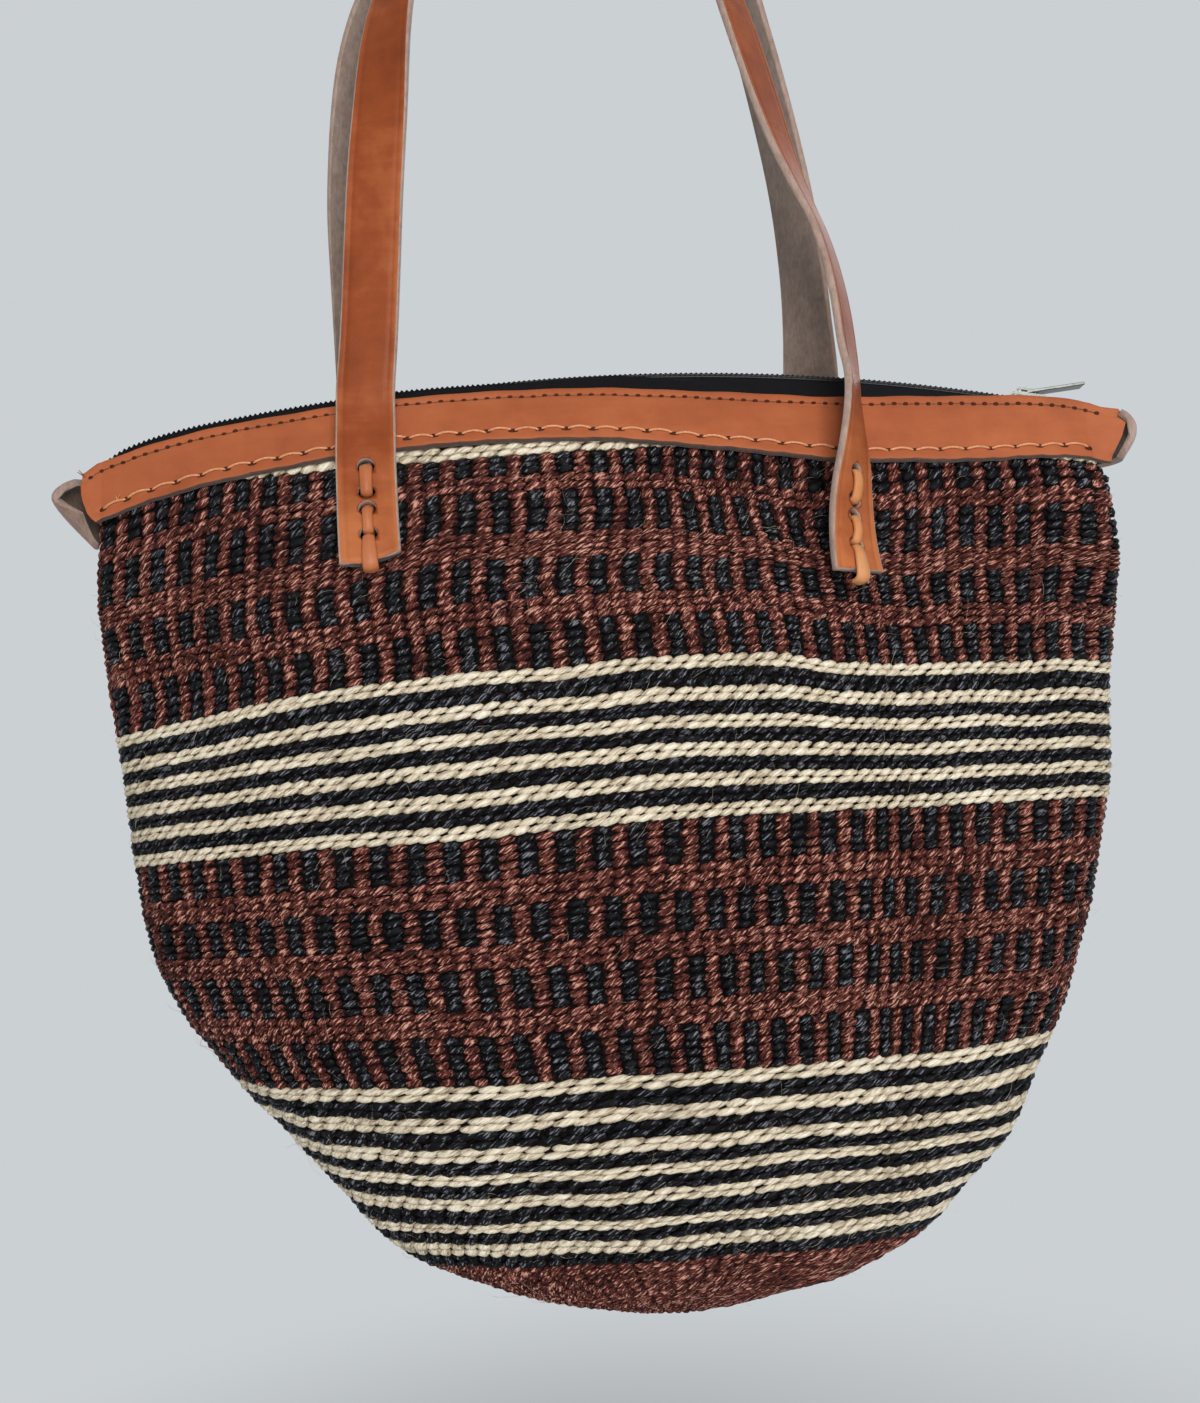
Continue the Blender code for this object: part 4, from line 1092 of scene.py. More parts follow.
@dataclass
class Weave:
    """The twined basket: every stitch a spindle of yarn, on a near-black core that closes the gaps as painted shade.
    """

    surface: WeaveSurface
    seed: int = 7
    sink: float = 0.00100
    thickness: float = 0.00122
    dive: float = 0.00042
    split_level: float = 0.468
    core_depth: float = 0.00155
    wall: float = 0.0040
    pull: Pull = Pull()

    def spindle(self) -> bmesh.types.BMesh:
        """One stitch as a low sphere with its poles along the yarn."""
        bm = bmesh.new()
        bm.loops.layers.uv.new("UVMap")
        bmesh.ops.create_uvsphere(bm, u_segments=6, v_segments=5, radius=1.0, calc_uvs=True)
        return bm

    def pulled(self, level: Array, share: Array) -> tuple[Array, Array]:
        """Levels and shares round, once the rows and columns are pulled askew."""
        centre, _ = self.surface.at(level, share)
        x, y = centre[..., 0], centre[..., 1]
        return self.pull.level(level, x, y), share + self.pull.share(level, x, y)

    def stitches(self, upper: bool) -> dict[Yarn, list[tuple]]:
        """List the stitches of the upper or lower half.

        Args:
            upper: Whether the rows above the split are wanted.

        Returns:
            For each yarn, tuples of level, half row height, share round, half pitch, and the habit's
            length, width and slant.
        """
        found: dict[Yarn, list[tuple]] = {yarn: [] for yarn in Yarn}
        for group in WEAVE_ROWS:
            tall = (group.bottom - group.top) / group.count
            habit = HABITS[group.pattern]
            striped = group.pattern in (Pattern.CREAM, Pattern.BLACK)
            if (group.top < self.split_level) != upper:
                continue
            for row in range(group.count):
                level = group.top + tall * (row + 0.5)
                slip = 0.5 * (row % 2) if striped else 0.0
                for k in range(group.stitches):
                    if group.pattern is Pattern.BLOCKS:
                        yarn = Yarn.BLACK if k % 2 else Yarn.BROWN
                    else:
                        yarn = Yarn(group.pattern.value)
                    share = (k + 0.5 + group.drift + slip) / group.stitches
                    found[yarn].append((level, tall / 2, share, 0.5 / group.stitches, habit.long, habit.wide,
                                        habit.slant))
        return found

    def hidden(self, level: Array, share: Array) -> Array:
        """Which stitches lie right under the leather."""
        points, _ = self.surface.at(*self.pulled(level, share))
        x = points[:, 0]
        low = LEATHER.edge(x, FORM) - LEATHER.height(x, FORM)
        return (np.abs(x) < LEATHER.reach - 0.003) & (points[:, 2] > low + 0.0035)

    def piece(self, name: str, rows: list[tuple], paint: Paint, rng: np.random.Generator) -> bpy.types.Object:
        """Lay one yarn's stitches.

        Args:
            name: The piece's name.
            rows: Its stitches.
            paint: Its finish.
            rng: Seeded numbers for the hand's unevenness.

        Returns:
            The piece.
        """
        table = np.array(rows)
        table = table[~self.hidden(table[:, 0], table[:, 2])]
        count = len(table)
        template = self.spindle()
        single = bpy.data.meshes.new("spindle")
        template.to_mesh(single)
        template.free()
        corners = len(single.loops)
        whole = bmesh.new()
        for _ in range(count):
            whole.from_mesh(single)
        local = np.array([v.co[:] for v in single.vertices])
        bpy.data.meshes.remove(single)
        obj = finished(name, whole, (paint,))
        obj.data.vertices.foreach_set("co", self.laid(table, local, rng).astype(np.float32).ravel())
        self.vary(obj, count, local, corners, rng)
        obj.data.update()
        return obj

    def laid(self, table: Array, local: Array, rng: np.random.Generator) -> Array:
        """Points of all the stitches.

        Args:
            table: Level, half row height, share round, half pitch and row number of each.
            local: Points of one spindle, with the yarn along its third axis.
            rng: Seeded numbers.

        Returns:
            One point for each stitch and each point of the spindle.
        """
        count = len(table)
        wander = rng.normal(0.0, 1.0, (count, 6))
        along = local[:, 2]
        full = (1 - np.abs(along) ** 2.6) ** 0.5 / np.maximum(np.sqrt(1 - along ** 2), 1e-3)
        full = np.where(np.abs(along) > 0.999, 0.0, full)
        broad = local[:, 0] * full
        thick = local[:, 1] * full
        level, tall, share, pitch, long, wide, slant = (table[:, k][:, None] for k in range(7))
        share = share + pitch * 0.10 * wander[:, 0:1]
        level = level + tall * 0.10 * wander[:, 1:2]
        long = long * (1 + 0.07 * wander[:, 2:3])
        wide = wide * (1 + 0.08 * wander[:, 3:4])
        tilt = slant * (1 + 0.16 * wander[:, 4:5])
        bow = np.sin(along * math.pi / 2)
        at_share = share + pitch * long * along
        at_level = level - tall * (tilt * bow + wide * broad)
        rise = -self.sink + self.thickness * thick - self.dive * along ** 2
        rise = rise + 0.00012 * wander[:, 5:6]
        centre, out = self.surface.at(*self.pulled(at_level, at_share))
        return centre + out * rise[..., None]

    def vary(self, obj: bpy.types.Object, count: int, local: Array, corners: int,
             rng: np.random.Generator) -> None:
        """Give each stitch its own tone and place in the strand pattern, and note where it stands proud, for a painted
        highlight on top and painted shade at its sides and ends.

        Args:
            obj: The piece.
            count: How many stitches it has.
            local: Points of one spindle.
            corners: Face corners of one spindle.
            rng: Seeded numbers.
        """
        keep_numbers(obj, "tone", np.repeat(rng.random(count), len(local)))
        # Painted shade and highlight: 1 on the stitch's outer top, falling to 0 underneath and towards both ends.
        crest = np.clip(local[:, 1] * 0.5 + 0.5, 0.0, 1.0) * (1 - 0.6 * local[:, 2] ** 2)
        keep_numbers(obj, "crest", np.tile(crest, count))
        layer = obj.data.uv_layers["UVMap"]
        flat = np.zeros(len(obj.data.loops) * 2, np.float32)
        layer.data.foreach_get("uv", flat)
        flat = flat.reshape(count, corners, 2) + rng.random((count, 1, 2)).astype(np.float32) * 40.0
        layer.data.foreach_set("uv", flat.ravel())

    def core(self, paint: Paint) -> bpy.types.Object:
        """The closed shell under the stitches, with the basket's wall inside it, near-black as painted shade in the
        gaps and inside.
        """
        surface = self.surface
        outer = np.linspace(surface.TOP, 1.0 + surface.UNDER_SPAN * 0.98, 110)
        inner = outer[::-1]
        rows = len(outer) + len(inner) - 1
        around = 300

        def place(u: Array, v: Array) -> Array:
            """Point of the shell at shares round and down."""
            k = np.rint(v * rows).astype(int)
            outside = k < len(outer)
            level = np.where(outside, outer[np.minimum(k, len(outer) - 1)],
                             inner[np.clip(k - len(outer), 0, len(inner) - 1)])
            centre, out = surface.at(level, u)
            depth = np.where(outside, self.core_depth, self.wall)
            return centre - out * depth[:, None]

        return bent_grid("basket_core", around, rows, place, (paint,))

    def fibres(self, paint: Paint, count: int, rng: np.random.Generator) -> bpy.types.Object:
        """Loose ends of sisal that stand off the weave.

        Args:
            paint: Their finish.
            count: How many there are.
            rng: Seeded numbers.

        Returns:
            The piece.
        """
        steps = 6
        sides = 3
        bm = bmesh.new()
        bmesh.ops.create_grid(bm, x_segments=sides, y_segments=steps, size=1.0)
        flat = np.array([v.co[:2] for v in bm.verts])
        strand = bpy.data.meshes.new("strand")
        bm.to_mesh(strand)
        bm.free()
        whole = bmesh.new()
        for _ in range(count):
            whole.from_mesh(strand)
        bpy.data.meshes.remove(strand)
        u = (flat[:, 0] + 1) / 2
        v = (flat[:, 1] + 1) / 2
        level = rng.uniform(0.10, 0.985, (count, 1))
        share = rng.random((count, 1))
        reach = rng.uniform(0.003, 0.011, (count, 1))
        turn = rng.normal(0.45, 0.7, (count, 1))
        lift = np.abs(rng.normal(0.0, 0.0017, (count, 1))) + 0.0002
        curl = rng.normal(0.0, 0.5, (count, 1))
        run = turn + curl * v
        round_size = 0.82 * np.sqrt(1.0 - np.clip(level - 0.4, 0, 0.6) ** 2 * 2.2)
        at_share = share + reach * v * np.cos(run) / round_size
        at_level = level - reach * v * np.sin(run) / FORM.height
        centre, out = self.surface.at(at_level, at_share)
        rise = 0.0001 + lift * np.sin(np.minimum(v * 1.25, 1.0) * math.pi * 0.62)
        spin = 2 * math.pi * u
        size = 0.000065 * (1.0 - 0.75 * v)
        level_up = np.array((0.0, 0.0, 1.0))
        spread = unit(np.cross(out, np.broadcast_to(level_up, out.shape)))
        points = centre + out * (rise + size * np.cos(spin))[..., None]
        points = points + spread * (size * np.sin(spin) * 0.7)[..., None] + level_up * (size * np.sin(spin) * 0.7)[..., None]
        for vert, point in zip(whole.verts, points.reshape(-1, 3)):
            vert.co = point
        bmesh.ops.remove_doubles(whole, verts=whole.verts, dist=1e-6)
        bmesh.ops.holes_fill(whole, edges=[e for e in whole.edges if e.is_boundary], sides=0)
        bmesh.ops.recalc_face_normals(whole, faces=whole.faces)
        obj = finished("loose_fibres", whole, (paint,))
        keep_numbers(obj, "tone", rng.random(len(obj.data.vertices)) * 0.2 + 0.5)
        # A fixed painted light level for the loose fibres' colour.
        keep_numbers(obj, "crest", np.full(len(obj.data.vertices), 0.7))
        return obj

    def build(self, palette: Palette) -> None:
        """Make the core, the six sets of stitches and the loose ends."""
        rng = np.random.default_rng(self.seed)
        paints = {Yarn.BROWN: palette.brown, Yarn.BLACK: palette.black, Yarn.CREAM: palette.cream}
        core = self.core(palette.core)
        keep_numbers(core, "tone", np.full(len(core.data.vertices), 0.5))
        keep_numbers(core, "crest", np.full(len(core.data.vertices), 0.4))
        settled(core, "basket", "sisal", "basket_body")
        for upper, word in ((True, "upper"), (False, "lower")):
            rows = self.stitches(upper)
            for yarn in Yarn:
                made = self.piece(f"weave_{yarn.value}_{word}", rows[yarn], paints[yarn], rng)
                settled(made, "basket", "sisal", "basket_body")
        settled(self.fibres(palette.cream, 900, rng), "basket", "sisal")


# ---------------------------------------------------------------- leather round the rim


@dataclass
class RimLeather:
    """The stitched band round the rim."""

    columns: int = 380
    edge_round: float = 0.0006
    fine_row: float = 0.0036
    fine_pitch: float = 0.00425
    coarse_row: float = 0.0043
    coarse_pitch: float = 0.0096
    pucker: float = 0.00040
    nominal: float = 0.0235
    drops: tuple = (0.0, 0.0010, 0.0020, 0.0026, 0.0030, 0.0034, 0.0040, 0.0055, 0.008, 0.011, 0.014, 0.0165,
                    0.0175, 0.0181, 0.0186, 0.0190, 0.0195, 0.0202, 0.0214)

    def sheet(self, side: int, x: Array, share: Array) -> Array:
        """Inner face of the band at an x and a share of its height."""
        z = LEATHER.edge(x, FORM) - LEATHER.height(x, FORM) * (1 - share)
        z = z - 0.45 * np.maximum(-LEATHER.reach - x, 0.0) - 0.2 * np.maximum(x - LEATHER.reach, 0.0)
        return np.stack((x, side * (FORM.depth_on(x, z) + LEATHER.clearance), z), axis=-1)

    def out(self, side: int, x: Array, share: Array) -> Array:
        """Which way the band faces."""
        step = 0.0008
        along = self.sheet(side, x + step, share) - self.sheet(side, x - step, share)
        up = self.sheet(side, x, share + 0.02) - self.sheet(side, x, share - 0.02)
        normal = unit(np.cross(along, up))
        return np.where(normal[..., 1:2] * side < 0, -normal, normal)

    def on(self, side: int, x: Array, share: Array, lift: Array | float) -> Array:
        """A place a height above the band's inner face."""
        return self.sheet(side, x, share) + self.out(side, x, share) * np.asarray(lift)[..., None]

    def outline(self) -> tuple[Array, Array, list[int]]:
        """The band's section: shares of its height, heights off its inner face, and looks."""
        round_, thick, tall = self.edge_round, LEATHER.thickness, self.nominal
        faces = [(1 - (round_ + drop) / tall, thick, 0) for drop in self.drops]
        # Look 1 is the lower edge, which carries the painted shade finish.
        faces.append((round_ / tall, thick, 1))
        for turn in (45.0, 90.0, 135.0):
            lean, tip = math.sin(math.radians(turn)), math.cos(math.radians(turn))
            faces.append((round_ / tall * (1 - lean), thick / 2 * (1 + tip), 1))
        faces.append((round_ / tall, 0.0, 2))
        faces.extend((share, 0.0, 2) for share in (0.25, 0.5, 0.75))
        faces.append((1 - round_ / tall, 0.0, 0))
        for turn in (45.0, 90.0, 135.0):
            lean, tip = math.sin(math.radians(turn)), math.cos(math.radians(turn))
            faces.append((1 - round_ / tall * (1 - lean), thick / 2 * (1 - tip), 0))
        faces.append(faces[0])
        return np.array([f[0] for f in faces]), np.array([f[1] for f in faces]), [f[2] for f in faces]

    def band(self, side: int, paints: Sequence[Paint]) -> bpy.types.Object:
        """One side's band, with a dip along each row of stitches."""
        shares, lifts, looks = self.outline()
        around = len(looks) - 1
        thick, tall = LEATHER.thickness, self.nominal

        def place(u: Array, v: Array) -> Array:
            """Point of the band at shares round its section and along it."""
            k = np.rint(u * around).astype(int)
            share = shares[k]
            x = np.sin(math.pi * (v - 0.5))
            left, right = (-LEATHER.reach, LEATHER.reach)
            if side == FRONT:
                left, right = (np.interp(share, LEATHER.end_shares, ends)
                               for ends in (LEATHER.left_ends, LEATHER.right_ends))
            x = np.where(x < 0, -left * x, right * x)
            drop = (1 - share) * tall
            fine = np.exp(-((drop - self.fine_row) / 0.0007) ** 2) * 0.00026
            low = share * tall - self.coarse_row
            beat = (0.5 + 0.5 * np.cos(2 * math.pi * x / self.coarse_pitch)) ** 2
            coarse = np.exp(-(low / 0.0012) ** 2) * self.pucker * (0.3 + 1.3 * beat)
            puff = np.exp(-((low + 0.0022) / 0.0012) ** 2) * 0.00012 * beat
            lift = np.where(lifts[k] > thick * 0.9, lifts[k] - fine - coarse + puff, lifts[k])
            wobble = 0.00025 * np.sin(x * 210.0) * np.sin(x * 83.0 + 1.0)
            wobble = wobble + 0.00022 * beat * (share < 0.2)
            return self.on(side, x, share + wobble / tall, lift)

        def look_at(u: float, _: float) -> int:
            """Material number round the section."""
            return looks[min(int(u * around), around - 1)]

        word = "front" if side == FRONT else "back"
        made = bent_grid(f"band_{word}", around, self.columns, place, paints, look_at)
        keep_numbers(made, "wear_and_light", np.zeros(len(made.data.vertices)))
        return made

    def seams(self, side: int, palette: Palette) -> list[bpy.types.Object]:
        """Thread of both rows on one side, and dark discs of painted shade for its awl holes."""
        word = "front" if side == FRONT else "back"
        coarse, fine, holes = [], [], []
        rng = np.random.default_rng(11)
        thick = LEATHER.thickness
        for k in range(-19, 20):
            x0 = k * self.coarse_pitch
            wander = rng.normal(0.0, 0.00018, 2)
            low = self.coarse_row + wander[0]
            holes.append(self.hole(side, x0, low - 0.0003, True, (0.0020, 0.0012), palette.hole))
            if k == 19:
                continue
            t = np.linspace(0.0, 1.0, 11)
            x = x0 + self.coarse_pitch * (0.03 + 0.94 * t)
            share = (low + 0.00055 * np.sin(math.pi * t) + 0.0001) / LEATHER.height(x, FORM)
            lift = thick - 0.0006 + 0.00095 * np.sin(math.pi * np.clip(t, 0.0, 1.0)) ** 0.6
            coarse.append(tube("stitch", self.on(side, x, share, lift), 0.00046, (palette.seam,), 6))
        last = 44 if side == FRONT else 42
        for k in range(-last, last + 1):
            x0 = k * self.fine_pitch
            low = self.fine_row + rng.normal(0.0, 0.0001)
            holes.append(self.hole(side, x0, low, False, (0.0011, 0.00085), palette.hole))
            if k == last:
                continue
            t = np.linspace(0.0, 1.0, 5)
            x = x0 + self.fine_pitch * (0.1 + 0.8 * t)
            share = 1 - low / LEATHER.height(x, FORM)
            lift = thick - 0.00038 + 0.00022 * np.sin(math.pi * t)
            fine.append(tube("stitch", self.on(side, x, share, lift), 0.00024, (palette.edge,), 4))
        return [joined(f"seam_stitches_{word}", coarse), joined(f"edge_stitches_{word}", fine),
                joined(f"awl_holes_{word}", holes)]

    def hole(self, side: int, x: float, offset: float, from_low: bool, size: tuple[float, float],
             paint: Paint) -> bpy.types.Object:
        """A dark disc on the leather: painted shade where a punched hole would be.

        Args:
            side: Front or back.
            x: Its place along the band.
            offset: Its distance from the band's lower or top edge.
            from_low: Whether that is the lower edge.
            size: Half its width and half its height.
            paint: Its finish.

        Returns:
            The mark.
        """
        at = np.array((x,))
        tall = LEATHER.height(at, FORM)
        share = offset / tall if from_low else 1 - offset / tall
        lift = LEATHER.thickness - (0.00050 if from_low else 0.00026)
        middle = Vector(self.on(side, at, share, np.array((lift,)))[0])
        out = Vector(self.out(side, at, share)[0])
        bm = bmesh.new()
        bmesh.ops.create_uvsphere(bm, u_segments=12, v_segments=6, radius=1.0)
        turn = Matrix((Vector((0.0, 0.0, 1.0)).cross(out).normalized(), Vector((0.0, 0.0, 1.0)), out)).transposed()
        squeeze = Matrix.Diagonal((size[0], size[1], 0.00034, 1.0))
        bm.transform(Matrix.Translation(middle) @ turn.to_4x4() @ squeeze)
        bmesh.ops.recalc_face_normals(bm, faces=bm.faces)
        return finished("hole", bm, (paint,))

    def build(self, palette: Palette) -> None:
        """Make both bands and their seams."""
        for side, word in ((FRONT, "front"), (BACK, "back")):
            settled(self.band(side, palette.band), "basket", "tan_leather", f"rim_band_{word}")
            for piece in self.seams(side, palette):
                settled(piece, "basket", "tan_leather")


@dataclass
class Ears:
    """The folded ends of the leather, which stand out past the basket."""

    half: float = 0.0013
    depths: tuple = (-0.0080, -0.0015, 0.0067)
    left: tuple = (
        ((-0.1922, -0.2424), (-0.1955, -0.2436), (-0.1986, -0.2456), (-0.1996, -0.2478), (-0.1974, -0.2500),
         (-0.1938, -0.2521), (-0.1903, -0.2541)),
        ((-0.1925, -0.2408), (-0.1961, -0.2422), (-0.1990, -0.2447), (-0.1998, -0.2480), (-0.1972, -0.2538),
         (-0.1932, -0.2592), (-0.1884, -0.2643)),
        ((-0.1880, -0.2396), (-0.1893, -0.2420), (-0.1900, -0.2450), (-0.1900, -0.2490), (-0.1896, -0.2540),
         (-0.1888, -0.2590), (-0.1878, -0.2640)))
    right: tuple = (
        ((0.1950, -0.2376), (0.1975, -0.2393), (0.1993, -0.2425), (0.1990, -0.2460), (0.1974, -0.2492),
         (0.1956, -0.2520), (0.1937, -0.2549)),
        ((0.1947, -0.2376), (0.1972, -0.2395), (0.1991, -0.2425), (0.1989, -0.2462), (0.1976, -0.2492),
         (0.1957, -0.2522), (0.1938, -0.2549)),
        ((0.1895, -0.2376), (0.1903, -0.2400), (0.1908, -0.2428), (0.1908, -0.2460), (0.1904, -0.2495),
         (0.1898, -0.2525), (0.1892, -0.2549)))
    stations: int = 40
    knot_at: tuple = (-0.1764, 0.22)
    corner_at: tuple = (-0.1890, 0.90)

    def middle(self, side: int, u: Array, v: Array) -> Array:
        """Middle of a fold's leather.

        Args:
            side: -1 for the left end, 1 for the right.
            u: Shares from the cut edge in front to the back.
            v: Shares from the top down.

        Returns:
            Its points.
        """
        lines = np.array(self.left if side < 0 else self.right)
        along = np.linspace(0.0, 1.0, lines.shape[1])
        weights = (2 * (u - 0.5) * (u - 1), 4 * u * (1 - u), 2 * u * (u - 0.5))
        x, z = (sum(w * through(along, line[:, k], v) for w, line in zip(weights, lines)) for k in (0, 1))
        return np.stack((x, sum(w * y for w, y in zip(weights, self.depths)), z), axis=-1)

    def out(self, side: int, u: Array, v: Array) -> Array:
        """Which way the leather's good side faces there."""
        along = self.middle(side, u + 0.004, v) - self.middle(side, u - 0.004, v)
        down = self.middle(side, u, v + 0.01) - self.middle(side, u, v - 0.01)
        return unit(np.cross(along, down)) * (1.0 if side < 0 else -1.0)

    def ear(self, side: int, paints: Sequence[Paint]) -> bpy.types.Object:
        """One folded end."""
        section = Section.of_strip(1.0, 2 * self.half, self.half * 0.8, steps=16)
        around = len(section.across) - 1
        half = np.array((0.5,))
        flip = 1.0 if self.out(side, half, half)[0, 0] * side > 0 else -1.0

        def place(u: Array, v: Array) -> Array:
            """Point of the ear at shares round its section and round its fold."""
            k = np.rint(u * around).astype(int)
            down = np.clip(section.across[k] + 0.5, 0.011, 0.989)
            face = self.out(side, v, down) * flip
            return self.middle(side, v, down) + face * section.height[k][:, None]

        def look_at(u: float, _: float) -> int:
            """Material number round the section."""
            return int(section.look[min(int(u * around), around - 1)])

        word = "left" if side < 0 else "right"
        made = bent_grid(f"folded_end_{word}", around, self.stations, place, paints, look_at)
        keep_numbers(made, "wear_and_light", np.zeros(len(made.data.vertices)))
        return made

    def tuft(self, at: tuple[float, float], way: tuple, reach: float, paint: Paint, seed: int) -> bpy.types.Object:
        """Cut ends of sewing thread.

        Args:
            at: Where they come out of the front band: x, and the share of its height.
            way: Which way they point.
            reach: How long they are.
            paint: Their finish.
            seed: A number that varies them.

        Returns:
            The piece.
        """
        rng = np.random.default_rng(seed)
        x, share = (np.array((value,)) for value in at)
        foot = RimLeather().on(FRONT, x, share, np.array((LEATHER.thickness - 0.0002,)))[0]
        strands = []
        for _ in range(3):
            run = unit(np.array(way) + rng.normal(0.0, 0.25, 3))
            bend = unit(rng.normal(0.0, 1.0, 3)) * 0.3
            t = np.linspace(0.0, 1.0, 7)[:, None]
            places = foot + (run * t + bend * t * t) * reach * rng.uniform(0.6, 1.1)
            strands.append(tube("strand", places, 0.00026 * (1.0 - 0.6 * t[:, 0]), (paint,), 4))
        return joined(f"thread_ends_{seed}", strands)

    def build(self, palette: Palette) -> None:
        """Make both folded ends and the loose thread by the left one."""
        for side, word in ((-1, "left"), (1, "right")):
            settled(self.ear(side, palette.ear), "basket", "tan_leather", f"ear_{word}")
        settled(self.tuft(self.corner_at, (-0.6, -0.3, 0.8), 0.0034, palette.edge, 1), "basket", "tan_leather")
        settled(self.tuft(self.knot_at, (0.1, -0.5, 0.9), 0.0030, palette.seam, 2), "basket", "tan_leather")


# ---------------------------------------------------------------- zip


@dataclass
class Zip:
    """Two coils on cloth tapes, open from end to end, with the slider at the right."""

    radius: float = 0.750
    crest: float = 0.2113
    coil_radius: float = 0.0010
    coil_offset: float = 0.0033
    chain_reach: float = 0.1715
    wire: float = 0.00042
    cord: float = 0.00060
    pitch: float = 0.0019
    turn_steps: int = 9
    tape_reach: float = 0.1828
    tape_thickness: float = 0.0006
    tape_inner: float = 0.0024
    tape_shoulder: float = 0.0044
    tape_hidden: float = 0.0030
    tape_tuck: float = 0.0005
    tape_fall: float = 0.0015
    clearance: float = 0.0003
    ridge_near: tuple = (-0.150, -0.130)
    ridge_insets: tuple = (0.00015, 0.0016)
    ridge_places: tuple = (-0.1828, -0.174, -0.140, -0.100, -0.050, -0.020, 0.010, 0.035)
    ridge_rises: tuple = (0.0002, 0.0023, 0.0031, 0.0036, 0.0043, 0.0042, 0.0036, 0.0018)
    ridge_ends: tuple = (0.010, 0.045)
    gather: float = 0.00045

    def chain(self, x: Array, y: Array | float, below: Array | float) -> Array:
        """A place over x on the chain's arc, a distance under its crest."""
        turn = np.arcsin(x / self.radius)
        reach = self.radius - below
        z = -self.crest - self.radius + reach * np.cos(turn)
        return np.stack(np.broadcast_arrays(reach * np.sin(turn), y, z), axis=-1)

    def coil(self, side: int, paint: Paint) -> bpy.types.Object:
        """One coil of nylon wire."""
        turns = int(2 * self.chain_reach / self.pitch)
        count = turns * self.turn_steps
        v = np.linspace(0.0, 1.0, count + 1)
        x = self.chain_reach * (2 * v - 1) * 0.997
        phase = 2 * math.pi * turns * v
        big = self.coil_radius - self.wire
        y = side * self.coil_offset + big * np.sin(phase)
        places = self.chain(x, y, self.coil_radius - big * np.cos(phase))
        wound = tube("wound", places, self.wire, (paint,), 5)
        x = np.linspace(x[0], x[-1], 160)
        cord = tube("cord", self.chain(x, side * self.coil_offset, self.coil_radius), self.cord, (paint,), 8)
        line = self.chain(x, side * self.coil_offset, 2 * self.coil_radius - self.clearance)
        sewn = tube("sewn", line, 2 * self.clearance, (paint,), 8)
        return joined(f"coil_{'front' if side == FRONT else 'back'}", (wound, cord, sewn))

    def tape(self, side: int, paint: Paint) -> bpy.types.Object:
        """One cloth tape, from under the coil to under the leather."""
        half = self.tape_thickness / 2
        shelf = 2 * self.coil_radius + self.clearance + half
        steps = 15

        def middle(x: Array, v: Array) -> Array:
            """Middle of the tape over x, at a share from the mouth to the hem."""
            inner = self.chain(x, side * self.tape_inner, shelf)
            shoulder = self.chain(x, side * self.tape_shoulder, shelf + self.tape_thickness / 3)
            high = np.minimum(LEATHER.edge(x, FORM) - self.tape_tuck, shoulder[..., 2] - self.tape_fall)
            under = np.stack((x, side * (FORM.depth_on(x, high) - half), high), axis=-1)
            low = high - self.tape_hidden
            hem = np.stack((x, side * (FORM.depth_on(x, low) - half), low), axis=-1)
            crest = LEATHER.edge(x, FORM)
            rise = through(self.ridge_places, self.ridge_rises, x) + self.gather * np.cos(2 * math.pi * x / self.pitch)
            out = side * (FORM.depth_on(x, crest) - np.interp(x, self.ridge_near, self.ridge_insets))
            ridge = np.stack((x, out, crest + rise), axis=-1)
            turn = np.stack((x, out, shoulder[..., 2]), axis=-1)
            first, last = self.ridge_ends
            flat = np.clip((x - first) / (last - first), 0.0, 1.0)[..., None]
            turn = (shoulder * 2 + under) / 3 * flat + turn * (1 - flat)
            slope = (shoulder + under * 2) / 3 * flat + ridge * (1 - flat)
            line = np.stack((inner, shoulder, turn, slope, under, hem), axis=0)
            at = v * 5
            k = np.clip(np.floor(at).astype(int), 0, 4)
            t = (at - k)[..., None]
            pick = np.arange(len(x))
            return line[k, pick] * (1 - t) + line[k + 1, pick] * t

        around = 2 * steps + 2

        def place(u: Array, v: Array) -> Array:
            """Point of the tape at shares round its section and along it."""
            k = np.rint(u * around).astype(int) % around
            x = self.tape_reach * np.sin(math.pi * (v - 0.5))
            outer = k <= steps
            share = np.where(outer, k / steps, (2 * steps + 1 - k) / steps)
            at = middle(x, share)
            along = middle(x + 0.001, share) - middle(x - 0.001, share)
            down = middle(x, np.minimum(share + 0.03, 1.0)) - middle(x, np.maximum(share - 0.03, 0.0))
            out = unit(np.cross(along, down))
            out = np.where(out[:, 2:3] + out[:, 1:2] * side < 0, -out, out)
            return at + out * np.where(outer, half, -half)[:, None]

        word = "front" if side == FRONT else "back"
        return bent_grid(f"tape_{word}", around, 1000, place, (paint,))

    def build(self, palette: Palette) -> None:
        """Make the coils and tapes, and finish the metal."""
        for side, word in ((FRONT, "front"), (BACK, "back")):
            settled(self.coil(side, palette.coil), "basket", "coil_nylon", f"zip_coil_{word}")
            settled(self.tape(side, palette.tape), "basket", "zip_cloth", f"zip_tape_{word}")
        for name in ("zip_end_stop", "zip_top_stop_front", "zip_top_stop_back", "zip_slider", "zip_pull_tab"):
            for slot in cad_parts[name].material_slots:
                slot.material = palette.metal.material
            log.info("%s keeps its solid", name)


# ---------------------------------------------------------------- straps


@dataclass(frozen=True)
class Foot:
    """How a laced end hangs by its fall, and how far its cut end reaches, from left to right."""

    turns: tuple
    falls: tuple = (0.0, 0.1)
    shifts: tuple = (0.0, 0.0)
    cut_places: tuple = (-1.0, 1.0)
    cut_reach: tuple = (0.0004, -0.0006)


